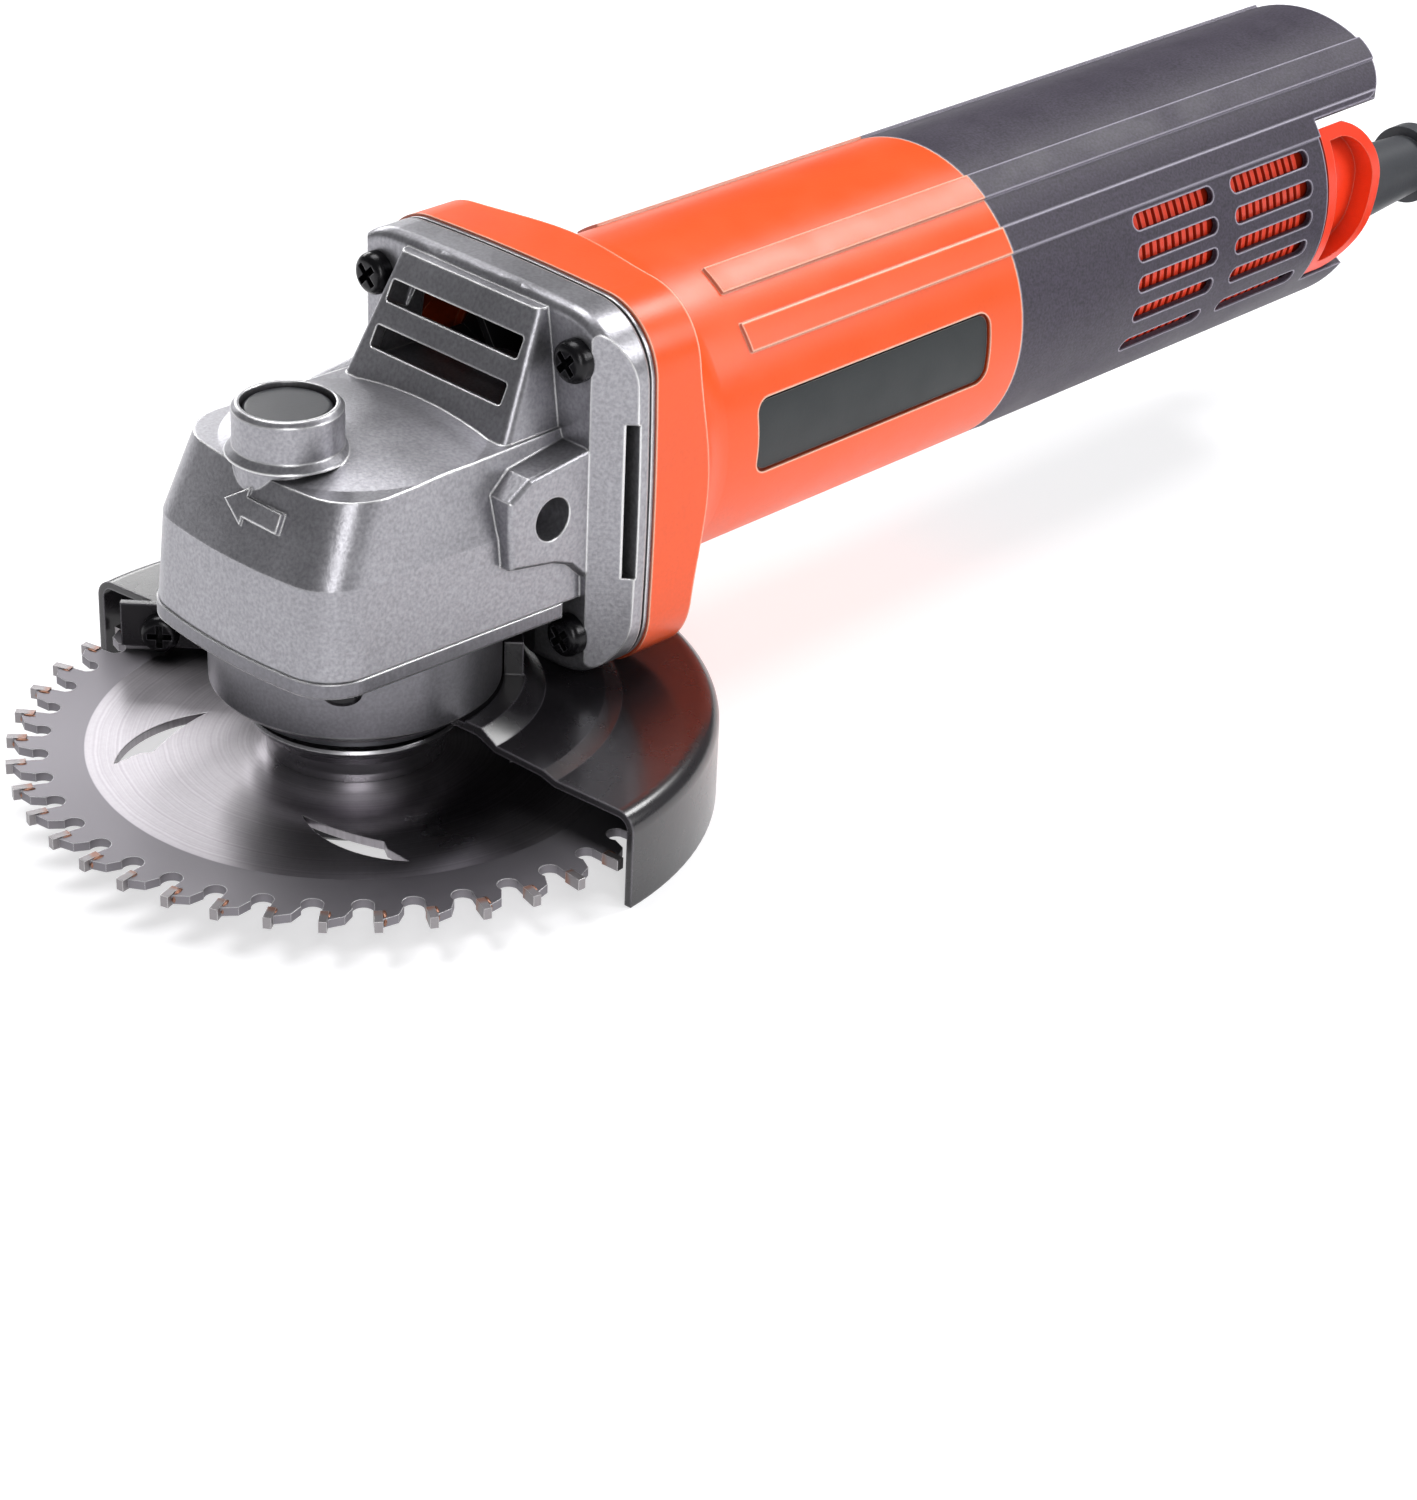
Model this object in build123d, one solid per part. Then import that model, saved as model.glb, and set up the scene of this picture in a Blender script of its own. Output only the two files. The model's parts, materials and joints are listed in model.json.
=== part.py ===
from build123d import *
import math
import os

# Corded 100 mm class angle grinder fitted with a toothed saw blade.
# Millimetres.  +Z is up along the spindle, +X runs from the spindle to the tail of the motor barrel.
# The origin is on the spindle axis, at the outer (lower) face of the lock nut.

os.makedirs("parts", exist_ok=True)

# ---------------------------------------------------------------- driving dimensions
blade_r = 52.5                    # saw blade radius over the carbide tips
blade_t = 1.4                     # steel body thickness
tooth_count = 42
nut_drop = 5.0                    # how far the lock nut stands below the blade
seat_z = nut_drop + blade_t       # blade face that bears on the inner flange
axis_z = seat_z + 40.5            # motor axis
barrel_r = 26.0                   # motor barrel, outside
wall = 2.3                        # moulded plastic wall
flange_x = 32.0                   # joint between gear case and motor housing
flange_half = 30.0                # half the width and height of that joint
slab_x = 24.0                     # face under the gear case screw heads
border_x = 121.3                  # joint between motor housing and rear cover
tail_x = 231.0                    # end of the rear cover's roof
case_front = 25.2                 # gear case, spindle axis to nose
seam_z = seat_z + 25.0            # joint between gear case and bearing box
shoulder_z = seat_z + 39.0        # top of the gear case's upright walls
roof_z = seat_z + 50.8            # edge of the gear case's crowned roof
neck_r = 22.0                     # bearing box neck, which carries the guard
neck_z = seat_z + 11.6            # lower end of the neck
screw_y = 21.65                   # gear case screws, each side of the motor axis
screw_z = 22.3
thread_r = 7.0                    # M14 spindle thread
gap = 0.05                        # radial running clearance of shafts

gear_teeth, pinion_teeth = 37, 10
gear_module = 0.95
gear_face = 3.3                   # tooth length along the pitch cone
lock_x = -12.2                    # spindle lock pin
lock_travel = 3.2                 # the lock button sinks this far
guard_r = 55.0
sheet = 1.2                       # guard sheet thickness
guard_start, guard_end = -85.0, 97.0
guard_top, guard_low = 8.5, -6.9  # rim of the guard, from the blade's upper face
floor_z = seat_z + guard_low      # what the tool stands on
switch_travel = 8.0


# ---------------------------------------------------------------- shape helpers
def block(x0, x1, y0, y1, z0, z1):
    """Box between two corners."""
    return Pos((x0 + x1) / 2, (y0 + y1) / 2, (z0 + z1) / 2) * Box(x1 - x0, y1 - y0, z1 - z0)


def rod_z(r, z0, z1, x=0.0, y=0.0):
    """Upright cylinder."""
    return Pos(x, y, (z0 + z1) / 2) * Cylinder(r, z1 - z0)


def rod_x(r, x0, x1, y=0.0, z=axis_z):
    """Cylinder along X, on the motor axis unless y and z say otherwise."""
    return Pos((x0 + x1) / 2, y, z) * Rot(0, 90, 0) * Cylinder(r, x1 - x0)


def rod_y(r, y0, y1, x, z):
    """Cylinder along Y."""
    return Pos(x, (y0 + y1) / 2, z) * Rot(90, 0, 0) * Cylinder(r, y1 - y0)


def tube_x(r_out, r_in, x0, x1):
    """Tube on the motor axis."""
    return rod_x(r_out, x0, x1) - rod_x(r_in, x0 - 1, x1 + 1)


def turned_z(points):
    """Solid of revolution about the spindle axis, from (radius, height) points."""
    face = make_face(Polyline(*[(r, 0, z) for r, z in points], close=True))
    return revolve(face, Axis.Z, 360)


def turned_x(points):
    """Solid of revolution about the motor axis, from (x, radius) points."""
    face = make_face(Polyline(*[(x, 0, axis_z + r) for x, r in points], close=True))
    return revolve(face, Axis((0, 0, axis_z), (1, 0, 0)), 360)


def squircle(half, x, corner=11.0, crown=0.9):
    """Square-round outline with slightly bulged sides, across the motor axis at x."""
    s = half - crown
    pts = [(-s, -s), (s, -s), (s, s), (-s, s)]
    mids = [(0, -half), (half, 0), (0, half), (-half, 0)]
    arcs = [ThreePointArc(pts[i], mids[i], pts[(i + 1) % 4]) for i in range(4)]
    face = make_face(Curve() + arcs)
    face = fillet(face.vertices(), corner)
    return Plane(origin=(x, 0, axis_z), x_dir=(0, 1, 0), z_dir=(1, 0, 0)) * face


def around(angle_step, count, start=0.0):
    """Placements turned about the spindle axis."""
    return [Rot(0, 0, start + i * angle_step) for i in range(count)]


def cross_recess(width, depth):
    """Phillips recess, opening towards +Z at z = 0."""
    arm = Pos(0, 0, -depth / 2) * Box(width, width * 0.26, depth)
    return arm + Rot(0, 0, 90) * arm


def pan_screw(head_r, head_h, shank_r, length):
    """Cross-recess pan head screw along -Z, the underside of its head at z = 0."""
    head = Pos(0, 0, head_h / 2) * Cylinder(head_r, head_h)
    head = fillet(head.edges().sort_by(Axis.Z)[-1], head_h * 0.55)
    shank = Pos(0, 0, -length / 2) * Cylinder(shank_r, length)
    shank = chamfer(shank.edges().sort_by(Axis.Z)[0], shank_r * 0.4)
    return head + shank - Pos(0, 0, head_h) * cross_recess(head_r * 1.25, head_h * 0.75)


def save(name, *solids):
    """Write one node; several solids become a group in that node."""
    flat = [s for shape in solids for s in shape.solids()]
    shape = flat[0] if len(flat) == 1 else Compound(children=flat)
    export_step(shape, f"parts/{name}.step")


def polar(r, degrees):
    """Point on the XY plane."""
    return (r * math.cos(math.radians(degrees)), r * math.sin(math.radians(degrees)))


# ---------------------------------------------------------------- gear case
roof_front, crown_r, crown_h = 19.2, 87.3, 2.2


def case_outline(front, half_front, half_rear, corner, z, rear=slab_x + 1):
    """Plan of the gear case at height z: bowed nose, rounded corners, sides widening rearwards."""
    nose = front - 2.4
    edges = Curve() + [
        Line((rear, -half_rear), (-nose, -half_front)),
        ThreePointArc((-nose, -half_front), (-front, 0), (-nose, half_front)),
        Line((-nose, half_front), (rear, half_rear)),
        Line((rear, half_rear), (rear, -half_rear)),
    ]
    face = make_face(edges)
    nose_corners = face.vertices().filter_by_position(Axis.X, -front - 1, -nose + 0.5)
    return Pos(0, 0, z) * fillet(nose_corners, corner)


def case_body(inset=0.0, floor=seam_z, top_drop=0.0):
    """Gear case head: upright walls, then a bevel up to the roof."""
    seam = case_outline(case_front - inset, 20.9 - inset, 23.2 - inset, 8.0 - inset * 0.6, floor)
    shoulder = case_outline(case_front - 0.9 - inset, 20.2 - inset, 22.8 - inset, 8.0 - inset * 0.6,
                            shoulder_z - top_drop * 0.35)
    roof = case_outline(roof_front - inset * 0.8, 19.6 - inset, 18.2 - inset, 8.5 - inset * 0.4,
                        roof_z - top_drop)
    return loft([seam, shoulder], ruled=True) + loft([shoulder, roof], ruled=True)


def wedge(inset=0.0):
    """Raised block behind the roof, whose front slope carries the two long slots."""
    low = Pos(0, 0, seat_z + 47.0) * Rectangle(60, 2 * (18.4 - inset))
    high = Pos(0, 0, seat_z + 68.9 - inset) * Rectangle(60, 2 * (15.2 - inset))
    foot_x, brow_x = 11.3 + inset * 1.1, 22.2 + inset * 1.1 - inset * 0.5
    low = Pos(foot_x + 30, 0, 0) * low
    high = Pos(brow_x + 30, 0, 0) * high
    body = loft([low, high], ruled=True)
    return body & block(0, flange_x - 4, -30, 30, 0, 200)


def slope_x(z):
    """Front slope of the wedge at height z."""
    return 11.3 + (z - seat_z - 47.0) * (22.2 - 11.3) / 21.9


slab = extrude(squircle(flange_half, slab_x), flange_x - slab_x)
slab = fillet(slab.edges().group_by(Axis.X)[0], 1.8)
# its front corners fall back at the sides, in line with the handle bosses
for side in (-1, 1):
    fall = make_face(Polyline((slab_x - 1, side * 23.2), (slab_x, side * 24.4), (slab_x + 4.6, side * 29.6),
                              (slab_x + 4.6, side * 34), (slab_x - 1, side * 34), close=True))
    slab = slab - extrude(fall, 200)
case = case_body() + slab
crown = extrude(case_outline(roof_front, 19.6, 18.2, 8.5, roof_z), crown_h + 0.5)
case = case + (crown & Pos(0, 0, roof_z + crown_h - crown_r) * Sphere(crown_r))
brow = wedge()
brow = fillet(brow.edges().filter_by(lambda e: abs(e.tangent_at(0.5).Y) < 0.5).group_by(Axis.X)[0], 1.5)
case = case + brow

# side-handle bosses, one on each side
handle_x, handle_z, boss_y = 16.9, axis_z, 24.4
for side in (-1, 1):
    outline = Polyline((8.4, 0), (8.4, 5.0), (12.4, 7.6), (slab_x + 1, 9.0), (slab_x + 1, -13.0),
                       (21.0, -9.0), (17.5, -7.6), (8.8, -6.0), close=True)
    face = Plane(origin=(0, side * 15.0, handle_z), x_dir=(1, 0, 0), z_dir=(0, side, 0)) * (
        make_face(outline) if side < 0 else mirror(make_face(outline), Plane.XZ))
    boss = extrude(face, boss_y - 15.0)
    boss = fillet(boss.edges().group_by(Axis.Y)[0 if side < 0 else -1], 0.8)
    case = case + boss

# round boss under the spindle lock button
button_boss = rod_z(8.1, roof_z - 3, seat_z + 59.5, lock_x)
button_boss = chamfer(button_boss.edges().group_by(Axis.Z)[-1], 0.7)
foot_z = roof_z + 1.2
case = case + button_boss + Pos(lock_x, 0, foot_z + 0.6) * Cone(9.3, 8.1, 1.2)

# screw bosses at the corners of the slab
corner_points = [(sy * screw_y, axis_z + sz * screw_z) for sy in (-1, 1) for sz in (-1, 1)]

# hollow for the bevel gears, hub for the front armature bearing, air space behind the slab
cavity = case_body(inset=2.3, floor=seam_z - 1, top_drop=3.8) & block(-40, 18.5, -30, 30, 0, 200)
case = case - cavity
air = extrude(squircle(flange_half - 2.4, slab_x + 2.2, corner=9.0), flange_x)
air = air - rod_x(14.0, slab_x, flange_x + 10)
air = air - block(27.0, 29.4, -16, 16, 0, seam_z)
for side in (-1, 1):
    air = air - block(slab_x, slab_x + 5.4, *sorted((side * 24.6, side * 34)), 0, 100)
for y, z in corner_points:
    air = air - rod_x(4.4, slab_x, flange_x + 10, y, z)
case = case - air
duct = wedge(inset=2.2) & block(0, slab_x + 3, -30, 30, seat_z + 53.0, 200)
case = case - duct
front_bearing_x, front_bearing_w = 22.5, 7.0
case = case - rod_x(11.0, front_bearing_x, flange_x + 1) - rod_x(9.0, 17.0, front_bearing_x + 1)

# slots: two across the slope, one tall one in each side of the slab
slope = math.degrees(math.atan2(21.9, 22.2 - 11.3))
for z_mid in (63.4, 57.0):
    z = seat_z + z_mid
    cutter = Box(9, 28.6, 3.5)
    cutter = fillet(cutter.edges().filter_by(Axis.X), 0.6)
    case = case - Pos(slope_x(z), 0, z) * Rot(0, -slope + 90, 0) * cutter
for side in (-1, 1):
    y0, y1 = sorted((side * 24.0, side * 32.0))
    slot = block(27.5, 29.0, y0, y1, axis_z - 11.7, axis_z + 13.2)
    case = case - slot

# shallow groove all round, just in front of the joint
groove = extrude(squircle(flange_half + 2, flange_x - 1.3), 0.5) - extrude(
    squircle(flange_half - 0.45, flange_x - 1.4), 0.8)
case = case - groove
# clearance for neck and guard collar below, holes for screws, pins and shafts
case = case - (rod_z(27.6, 0, seam_z - 2.4) & block(0, 27.9, -40, 40, 0, 60))
case = case - block(-40, slab_x - 0.01, -40, 40, 0, seam_z)
for y, z in corner_points:
    case = case - rod_x(2.3, slab_x - 8, flange_x + 1, y, z)
    case = case - rod_x(4.6, slab_x - 9, slab_x, y, z)
for side in (-1, 1):
    case = case + rod_y(6.5, *sorted((side * 17.0, side * 23.0)), handle_x, handle_z)
    case = case - rod_y(3.4, *sorted((side * 18.0, side * 30.0)), handle_x, handle_z)
button_floor, pin_r = seat_z + 49.4, 1.5
case = case - rod_z(6.9, button_floor, seat_z + 60, lock_x) - rod_z(pin_r + 0.05, roof_z - 8, roof_z + 4, lock_x)
needle_z0, needle_z1 = seat_z + 40.5, seat_z + 46.5
case = case + rod_z(8.0, needle_z0, seat_z + 48.6) - rod_z(6.0, needle_z0 - 1, needle_z1)

# cast direction arrow standing on the nose bevel, pointing the way the nose side of the blade moves
bevel_run = case_front - 0.9 - roof_front
bevel_tilt = math.degrees(math.atan2(roof_z - shoulder_z, bevel_run))
arrow = make_face(Polyline((1.6, -5.2), (1.6, 2.2), (3.0, 2.2), (0.0, 6.6), (-2.6, 2.2), (-1.4, 2.2),
                           (-1.4, -5.2), close=True))
arrow_place = Pos(-(roof_front + bevel_run * 0.4), -3.6, roof_z - (roof_z - shoulder_z) * 0.4)
arrow_place = arrow_place * Rot(0, -bevel_tilt, 0)
case = case + arrow_place * extrude(arrow, 0.5, both=True)
save("gear_case", case)

# ---------------------------------------------------------------- gear case screws
screw_parts = []
for y, z in corner_points:
    screw = pan_screw(3.3, 2.7, 2.0, 16.4)
    screw_parts.append(Pos(slab_x, y, z) * Rot(0, -90, 0) * Rot(0, 0, 45) * screw)
save("gear_case_screws", *screw_parts)

# ---------------------------------------------------------------- spindle lock
pin_low = seat_z + 31.4 + lock_travel
lock_pin = rod_z(pin_r, pin_low, seat_z + 55.0, lock_x) + rod_z(3.0, seat_z + 53.6, seat_z + 55.0, lock_x)
lock_pin = chamfer(lock_pin.edges().group_by(Axis.Z)[0], 0.4)
save("lock_pin", lock_pin)
button = rod_z(6.55, seat_z + 55.0, seat_z + 58.9, lock_x)
button = fillet(button.edges().group_by(Axis.Z)[-1], 0.7)
save("lock_button", button)
spring_r, spring_wire, spring_turns = 4.2, 0.3, 3.0
spring_z0, spring_z1 = button_floor + 0.05, seat_z + 54.95
coil_path = Helix(pitch=(spring_z1 - spring_z0 - 2 * spring_wire) / spring_turns,
                  height=spring_z1 - spring_z0 - 2 * spring_wire, radius=spring_r)
coil_start = Plane(origin=coil_path @ 0, z_dir=coil_path % 0)
spring = sweep(coil_start * Circle(spring_wire), path=coil_path, is_frenet=True)
save("lock_spring", Pos(lock_x, 0, spring_z0 + spring_wire) * spring)

# ---------------------------------------------------------------- bearing box
plate = extrude(case_outline(case_front + 0.25, 21.1, 23.1, 8.0, seam_z - 2.4, rear=20.5), 2.4)
neck_bore = 14.05
bearing_od_r, bearing_z0, bearing_z1 = 16.0, seat_z + 14.2, seat_z + 24.2
box_body = plate + rod_z(neck_r, neck_z, seam_z - 1.0) + rod_z(18.2, seam_z, seam_z + 1.8)
box_body = box_body - rod_z(neck_bore, 0, 90) - rod_z(bearing_od_r, bearing_z0, 90)
box_body = chamfer(box_body.edges().filter_by(GeomType.CIRCLE).group_by(Axis.Z)[0].sort_by(
    lambda e: e.radius)[-1], 0.6)
box_screw_at = 17.9
box_screw_points = [(sx * box_screw_at, sy * box_screw_at) for sx in (-1, 1) for sy in (-1, 1)]
for x, y in box_screw_points:
    box_body = box_body - rod_z(1.75, 0, 90, x, y)
save("bearing_box", box_body)

box_screws = []
for x, y in box_screw_points:
    screw = Pos(x, y, seam_z - 2.4) * Rot(180, 0, 0) * pan_screw(2.9, 1.9, 1.7, 2.3)
    box_screws.append(screw)
save("bearing_box_screws", *box_screws)


# ---------------------------------------------------------------- bearings
def ball_bearing(bore_r, outer_r, width):
    """Ball bearing along +Z from z = 0, with recessed shields, as one closed ring."""
    step = (outer_r - bore_r) * 0.24
    shield = width * 0.06
    return revolve(make_face(Polyline(
        (bore_r, 0, 0), (bore_r + step, 0, 0), (bore_r + step, 0, shield), (outer_r - step, 0, shield),
        (outer_r - step, 0, 0), (outer_r, 0, 0), (outer_r, 0, width), (outer_r - step, 0, width),
        (outer_r - step, 0, width - shield), (bore_r + step, 0, width - shield),
        (bore_r + step, 0, width), (bore_r, 0, width), close=True)), Axis.Z, 360)


spindle_r, gear_seat_r, journal_r = 6.0, 5.5, 4.0
save("spindle_bearing", Pos(0, 0, bearing_z0) * ball_bearing(spindle_r + gap, bearing_od_r - gap, 10.0))
needle = rod_z(6.0 - gap, needle_z0 - 0.9, needle_z1 - gap) - rod_z(journal_r + gap, 0, 100)
save("needle_bearing", needle)

# ---------------------------------------------------------------- spindle and what turns with it
collar_r, collar_z0, collar_z1 = 13.1, seat_z + 9.4, seat_z + 13.8
tongue_w = 16.6
spindle = rod_z(thread_r - gap, 0.4, collar_z0 + 1) + rod_z(collar_r, collar_z0, collar_z1)
tongue = rod_z(collar_r, seat_z + 7.1, collar_z0) & block(-tongue_w / 2, tongue_w / 2, -20, 20, 0, 100)
spindle = spindle + tongue + rod_z(spindle_r, collar_z1, seat_z + 25.0)
spindle = spindle + rod_z(gear_seat_r, seat_z + 25.0, seat_z + 36.0)
spindle = spindle + rod_z(journal_r, seat_z + 36.0, needle_z1 - 0.6)
spindle = spindle - (rod_z(journal_r + 3, seat_z + 35.0, seat_z + 35.8) - rod_z(gear_seat_r - 0.5, 0, 90))
spindle = chamfer(spindle.edges().group_by(Axis.Z)[0], 0.8)
save("spindle", spindle)

ring = rod_z(7.2, seat_z + 35.05, seat_z + 35.75) - rod_z(gear_seat_r - 0.45, 0, 90)
ring = ring - block(0, 10, -1.4, 1.4, 0, 90)
save("gear_retaining_ring", ring)


def tooth_face(pitch_r, cone_angle, shift):
    """Tooth outline on the back cone: x across the tooth, y outwards from the pitch line."""
    virtual_r = pitch_r / math.cos(cone_angle)
    pressure = math.radians(20)
    base_r = virtual_r * math.cos(pressure)
    half_pitch = math.pi * gear_module / 4 + shift * gear_module * math.tan(pressure) - 0.06
    top = gear_module * (1.0 + shift)
    low = -gear_module * (1.25 - shift)
    angle_pitch = half_pitch / virtual_r

    def involute(r):
        return math.sqrt((r / base_r) ** 2 - 1) - math.acos(base_r / r)

    flank = []
    steps = 6
    for i in range(steps + 1):
        r = virtual_r + low + (top - low) * i / steps
        r_eff = max(r, base_r)
        half = angle_pitch + involute(virtual_r) - involute(r_eff)
        flank.append((r * math.sin(half), r * math.cos(half) - virtual_r))
    root = flank[0]
    flank.insert(0, (root[0] * 1.05, root[1] - 0.5 * gear_module))
    return flank


def bevel_teeth(pitch_r, cone_angle, teeth, shift, start_deg):
    """Straight bevel teeth on +Z with the pitch apex at the origin, wide end away from it."""
    cone = pitch_r / math.sin(cone_angle)
    flank = tooth_face(pitch_r, cone_angle, shift)
    outline = flank + [(-x, y) for x, y in reversed(flank)]
    radial = Vector(math.cos(cone_angle), 0, -math.sin(cone_angle))
    along = Vector(math.sin(cone_angle), 0, math.cos(cone_angle))
    ends = []
    for distance in (cone, cone - gear_face):
        k = distance / cone
        centre = along * distance
        pts = [centre + radial * (y * k) + Vector(0, x * k, 0) for x, y in outline]
        ends.append(make_face(Polyline(*pts, close=True)))
    tooth = loft(ends, ruled=True)
    return [Rot(0, 0, start_deg + i * 360 / teeth) * tooth for i in range(teeth)]


gear_pitch_r = gear_module * gear_teeth / 2
pinion_pitch_r = gear_module * pinion_teeth / 2
gear_cone = math.atan2(gear_pitch_r, pinion_pitch_r)
pinion_cone = math.pi / 2 - gear_cone
shift = 0.4


def root_corners(pitch_r, cone_angle, depth):
    """Wide and narrow end of the root cone as (radius, height), apex at the origin, along +Z."""
    cone = pitch_r / math.sin(cone_angle)
    sin_c, cos_c = math.sin(cone_angle), math.cos(cone_angle)
    found = []
    for distance in (cone, cone - gear_face):
        k = distance / cone
        found.append((distance * sin_c - depth * k * cos_c, distance * cos_c + depth * k * sin_c))
    return found


# bevel gear, teeth upwards, apex on the motor axis
outer, inner = root_corners(gear_pitch_r, gear_cone, gear_module * (1.25 + shift))
gear_web_z = 6.9                  # web below the motor axis
gear_back_z = 11.6
profile = [(gear_seat_r + 0.01, gear_web_z), (inner[0] - 0.1, gear_web_z), (inner[0], inner[1]),
           (outer[0], outer[1]), (outer[0] - 0.8, outer[1] + 2.6), (11.0, gear_back_z),
           (9.0, gear_back_z), (9.0, 15.2), (gear_seat_r + 0.01, 15.2)]
gear = revolve(make_face(Polyline(*[(r, 0, z) for r, z in profile], close=True)), Axis.Z, 360)
for tooth in bevel_teeth(gear_pitch_r, gear_cone, gear_teeth, -shift, 180 / gear_teeth):
    gear = gear + tooth
for place in around(90, 4):
    gear = gear - place * Pos(lock_x, 0, gear_web_z) * Cylinder(pin_r + 0.35, 7.0)
gear = Pos(0, 0, axis_z) * Rot(180, 0, 0) * gear
save("bevel_gear", gear)

# pinion on the nose of the armature shaft, one tooth pointing straight down into a gap of the gear
pinion_bore = 2.5
outer, inner = root_corners(pinion_pitch_r, pinion_cone, gear_module * (1.25 - shift))
profile = [(pinion_bore + 0.01, inner[1]), (inner[0], inner[1]), (outer[0], outer[1]),
           (6.4, outer[1] + 0.6), (6.4, 21.8), (pinion_bore + 0.01, 21.8)]
pinion = revolve(make_face(Polyline(*[(r, 0, z) for r, z in profile], close=True)), Axis.Z, 360)
for tooth in bevel_teeth(pinion_pitch_r, pinion_cone, pinion_teeth, shift, 0):
    pinion = pinion + tooth
pinion = Pos(0, 0, axis_z) * Rot(0, 90, 0) * (pinion - rod_z(pinion_bore + 0.01, 0, 40))
save("bevel_pinion", pinion)

# ---------------------------------------------------------------- inner flange, blade, lock nut
flange_z = seat_z + 7.0
inner_flange = turned_z([(7.05, seat_z), (13.6, seat_z), (13.7, seat_z + 1.4), (14.2, seat_z + 3.4),
                         (15.3, seat_z + 5.0), (16.4, seat_z + 5.8), (16.7, seat_z + 6.5),
                         (16.4, flange_z), (7.05, flange_z)])
lugs = rod_z(collar_r, flange_z, flange_z + 2.2) - block(-8.5, 8.5, -20, 20, 0, 100)
spigot = rod_z(9.95, seat_z - blade_t + 0.2, seat_z) - rod_z(7.05, 0, 90)
save("inner_flange", inner_flange + lugs + spigot)

tooth_pitch = 360 / tooth_count
tip_phase = 0.5
body_tip_r = blade_r - 0.45
root_r = blade_r - 6.4
outline = []
for i in range(tooth_count):
    a = tip_phase + i * tooth_pitch
    face_low = polar(root_r + 1.2, a + 0.25)
    face_top = polar(body_tip_r, a)
    heel = polar(body_tip_r - 1.5, a + tooth_pitch * 0.46)
    shoulder = polar(body_tip_r - 3.6, a + tooth_pitch * 0.60)
    gullet = polar(root_r, a + tooth_pitch * 0.83)
    next_low = polar(root_r + 1.2, a + tooth_pitch + 0.25)
    outline += [Line(face_low, face_top), Line(face_top, heel), Line(heel, shoulder),
                ThreePointArc(shoulder, gullet, next_low)]
blade = extrude(make_face(Curve() + outline), blade_t) - Cylinder(10.0, 20)
for place in around(90, 4, start=-150.0):
    tail, belly_out, point = polar(24.2, 0), polar(32.3, 16), polar(36.8, 31)
    notch_in, notch_out = polar(30.7, 26.6), polar(32.8, 26.9)
    slot_face = make_face(Curve() + [
        ThreePointArc(tail, belly_out, point), Line(point, notch_out), Line(notch_out, notch_in),
        ThreePointArc(notch_in, polar(27.2, 14), tail)])
    blade = blade - place * extrude(slot_face, 6, both=True)
tip = Pos(blade_r - 1.5, 0, 0) * Box(3.0, 1.25, 1.8)
tips = []
for i in range(tooth_count):
    tips.append(Rot(0, 0, tip_phase + i * tooth_pitch) * Pos(0, 0.55, blade_t / 2) * tip)
blade = blade - tips
blade = Pos(0, 0, seat_z - blade_t) * blade
save("saw_blade", blade)
save("carbide_tips", *[Pos(0, 0, seat_z - blade_t) * t for t in tips])

nut_r, pin_pcd_r, pin_hole_r = 20.5, 15.0, 2.9
lock_nut = turned_z([(thread_r - 1.0, 0), (9.6, 0), (9.6, 0.5), (10.9, 0.5), (10.9, 0.0), (13.0, 0.0),
                     (13.2, 0.3), (13.4, 0.0), (nut_r - 0.8, 0), (nut_r, 0.8), (nut_r, nut_drop - 0.3),
                     (nut_r - 0.3, nut_drop), (thread_r - 1.0, nut_drop)])
lock_nut = lock_nut - rod_z(thread_r, -2, 20)
for place in around(90, 4, start=45):
    lock_nut = lock_nut - place * Pos(pin_pcd_r, 0, 2.0) * Cylinder(pin_hole_r, 8)
save("lock_nut", lock_nut)

# ---------------------------------------------------------------- wheel guard
guard_profile = Polyline(*[(r, 0, seat_z + z) for r, z in (
    (22.3, 17.2), (25.2, 17.2), (25.2, 11.8), (28.6, 9.7), (37.6, 9.3), (40.2, guard_top),
    (guard_r, guard_top), (guard_r, guard_low), (guard_r - sheet, guard_low),
    (guard_r - sheet, guard_top - sheet), (39.8, guard_top - sheet), (37.2, 8.1), (28.2, 8.5),
    (24.6, 10.0), (22.3, 10.0))], close=True)
section = make_face(guard_profile)
section = fillet(section.vertices().sort_by_distance((guard_r, 0, seat_z + guard_top))[0], 3.0)
section = fillet(section.vertices().sort_by_distance((guard_r - sheet, 0, seat_z + guard_top - sheet))[0], 1.8)
guard = Rot(0, 0, guard_start) * revolve(section, Axis.Z, guard_end - guard_start)
# the far end is cut straight along a line tangent to the collar and folded down to carry the screw
fold_turn, fold_out = 43.0, 24.0
guard = guard - Rot(0, 0, fold_turn) * block(-80, fold_out, 0, 80, -20, seat_z + 40)
guard = guard + Rot(0, 0, fold_turn) * block(fold_out, fold_out + sheet, 2, 39.6, seat_z + 1.0, seat_z + guard_top)
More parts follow.
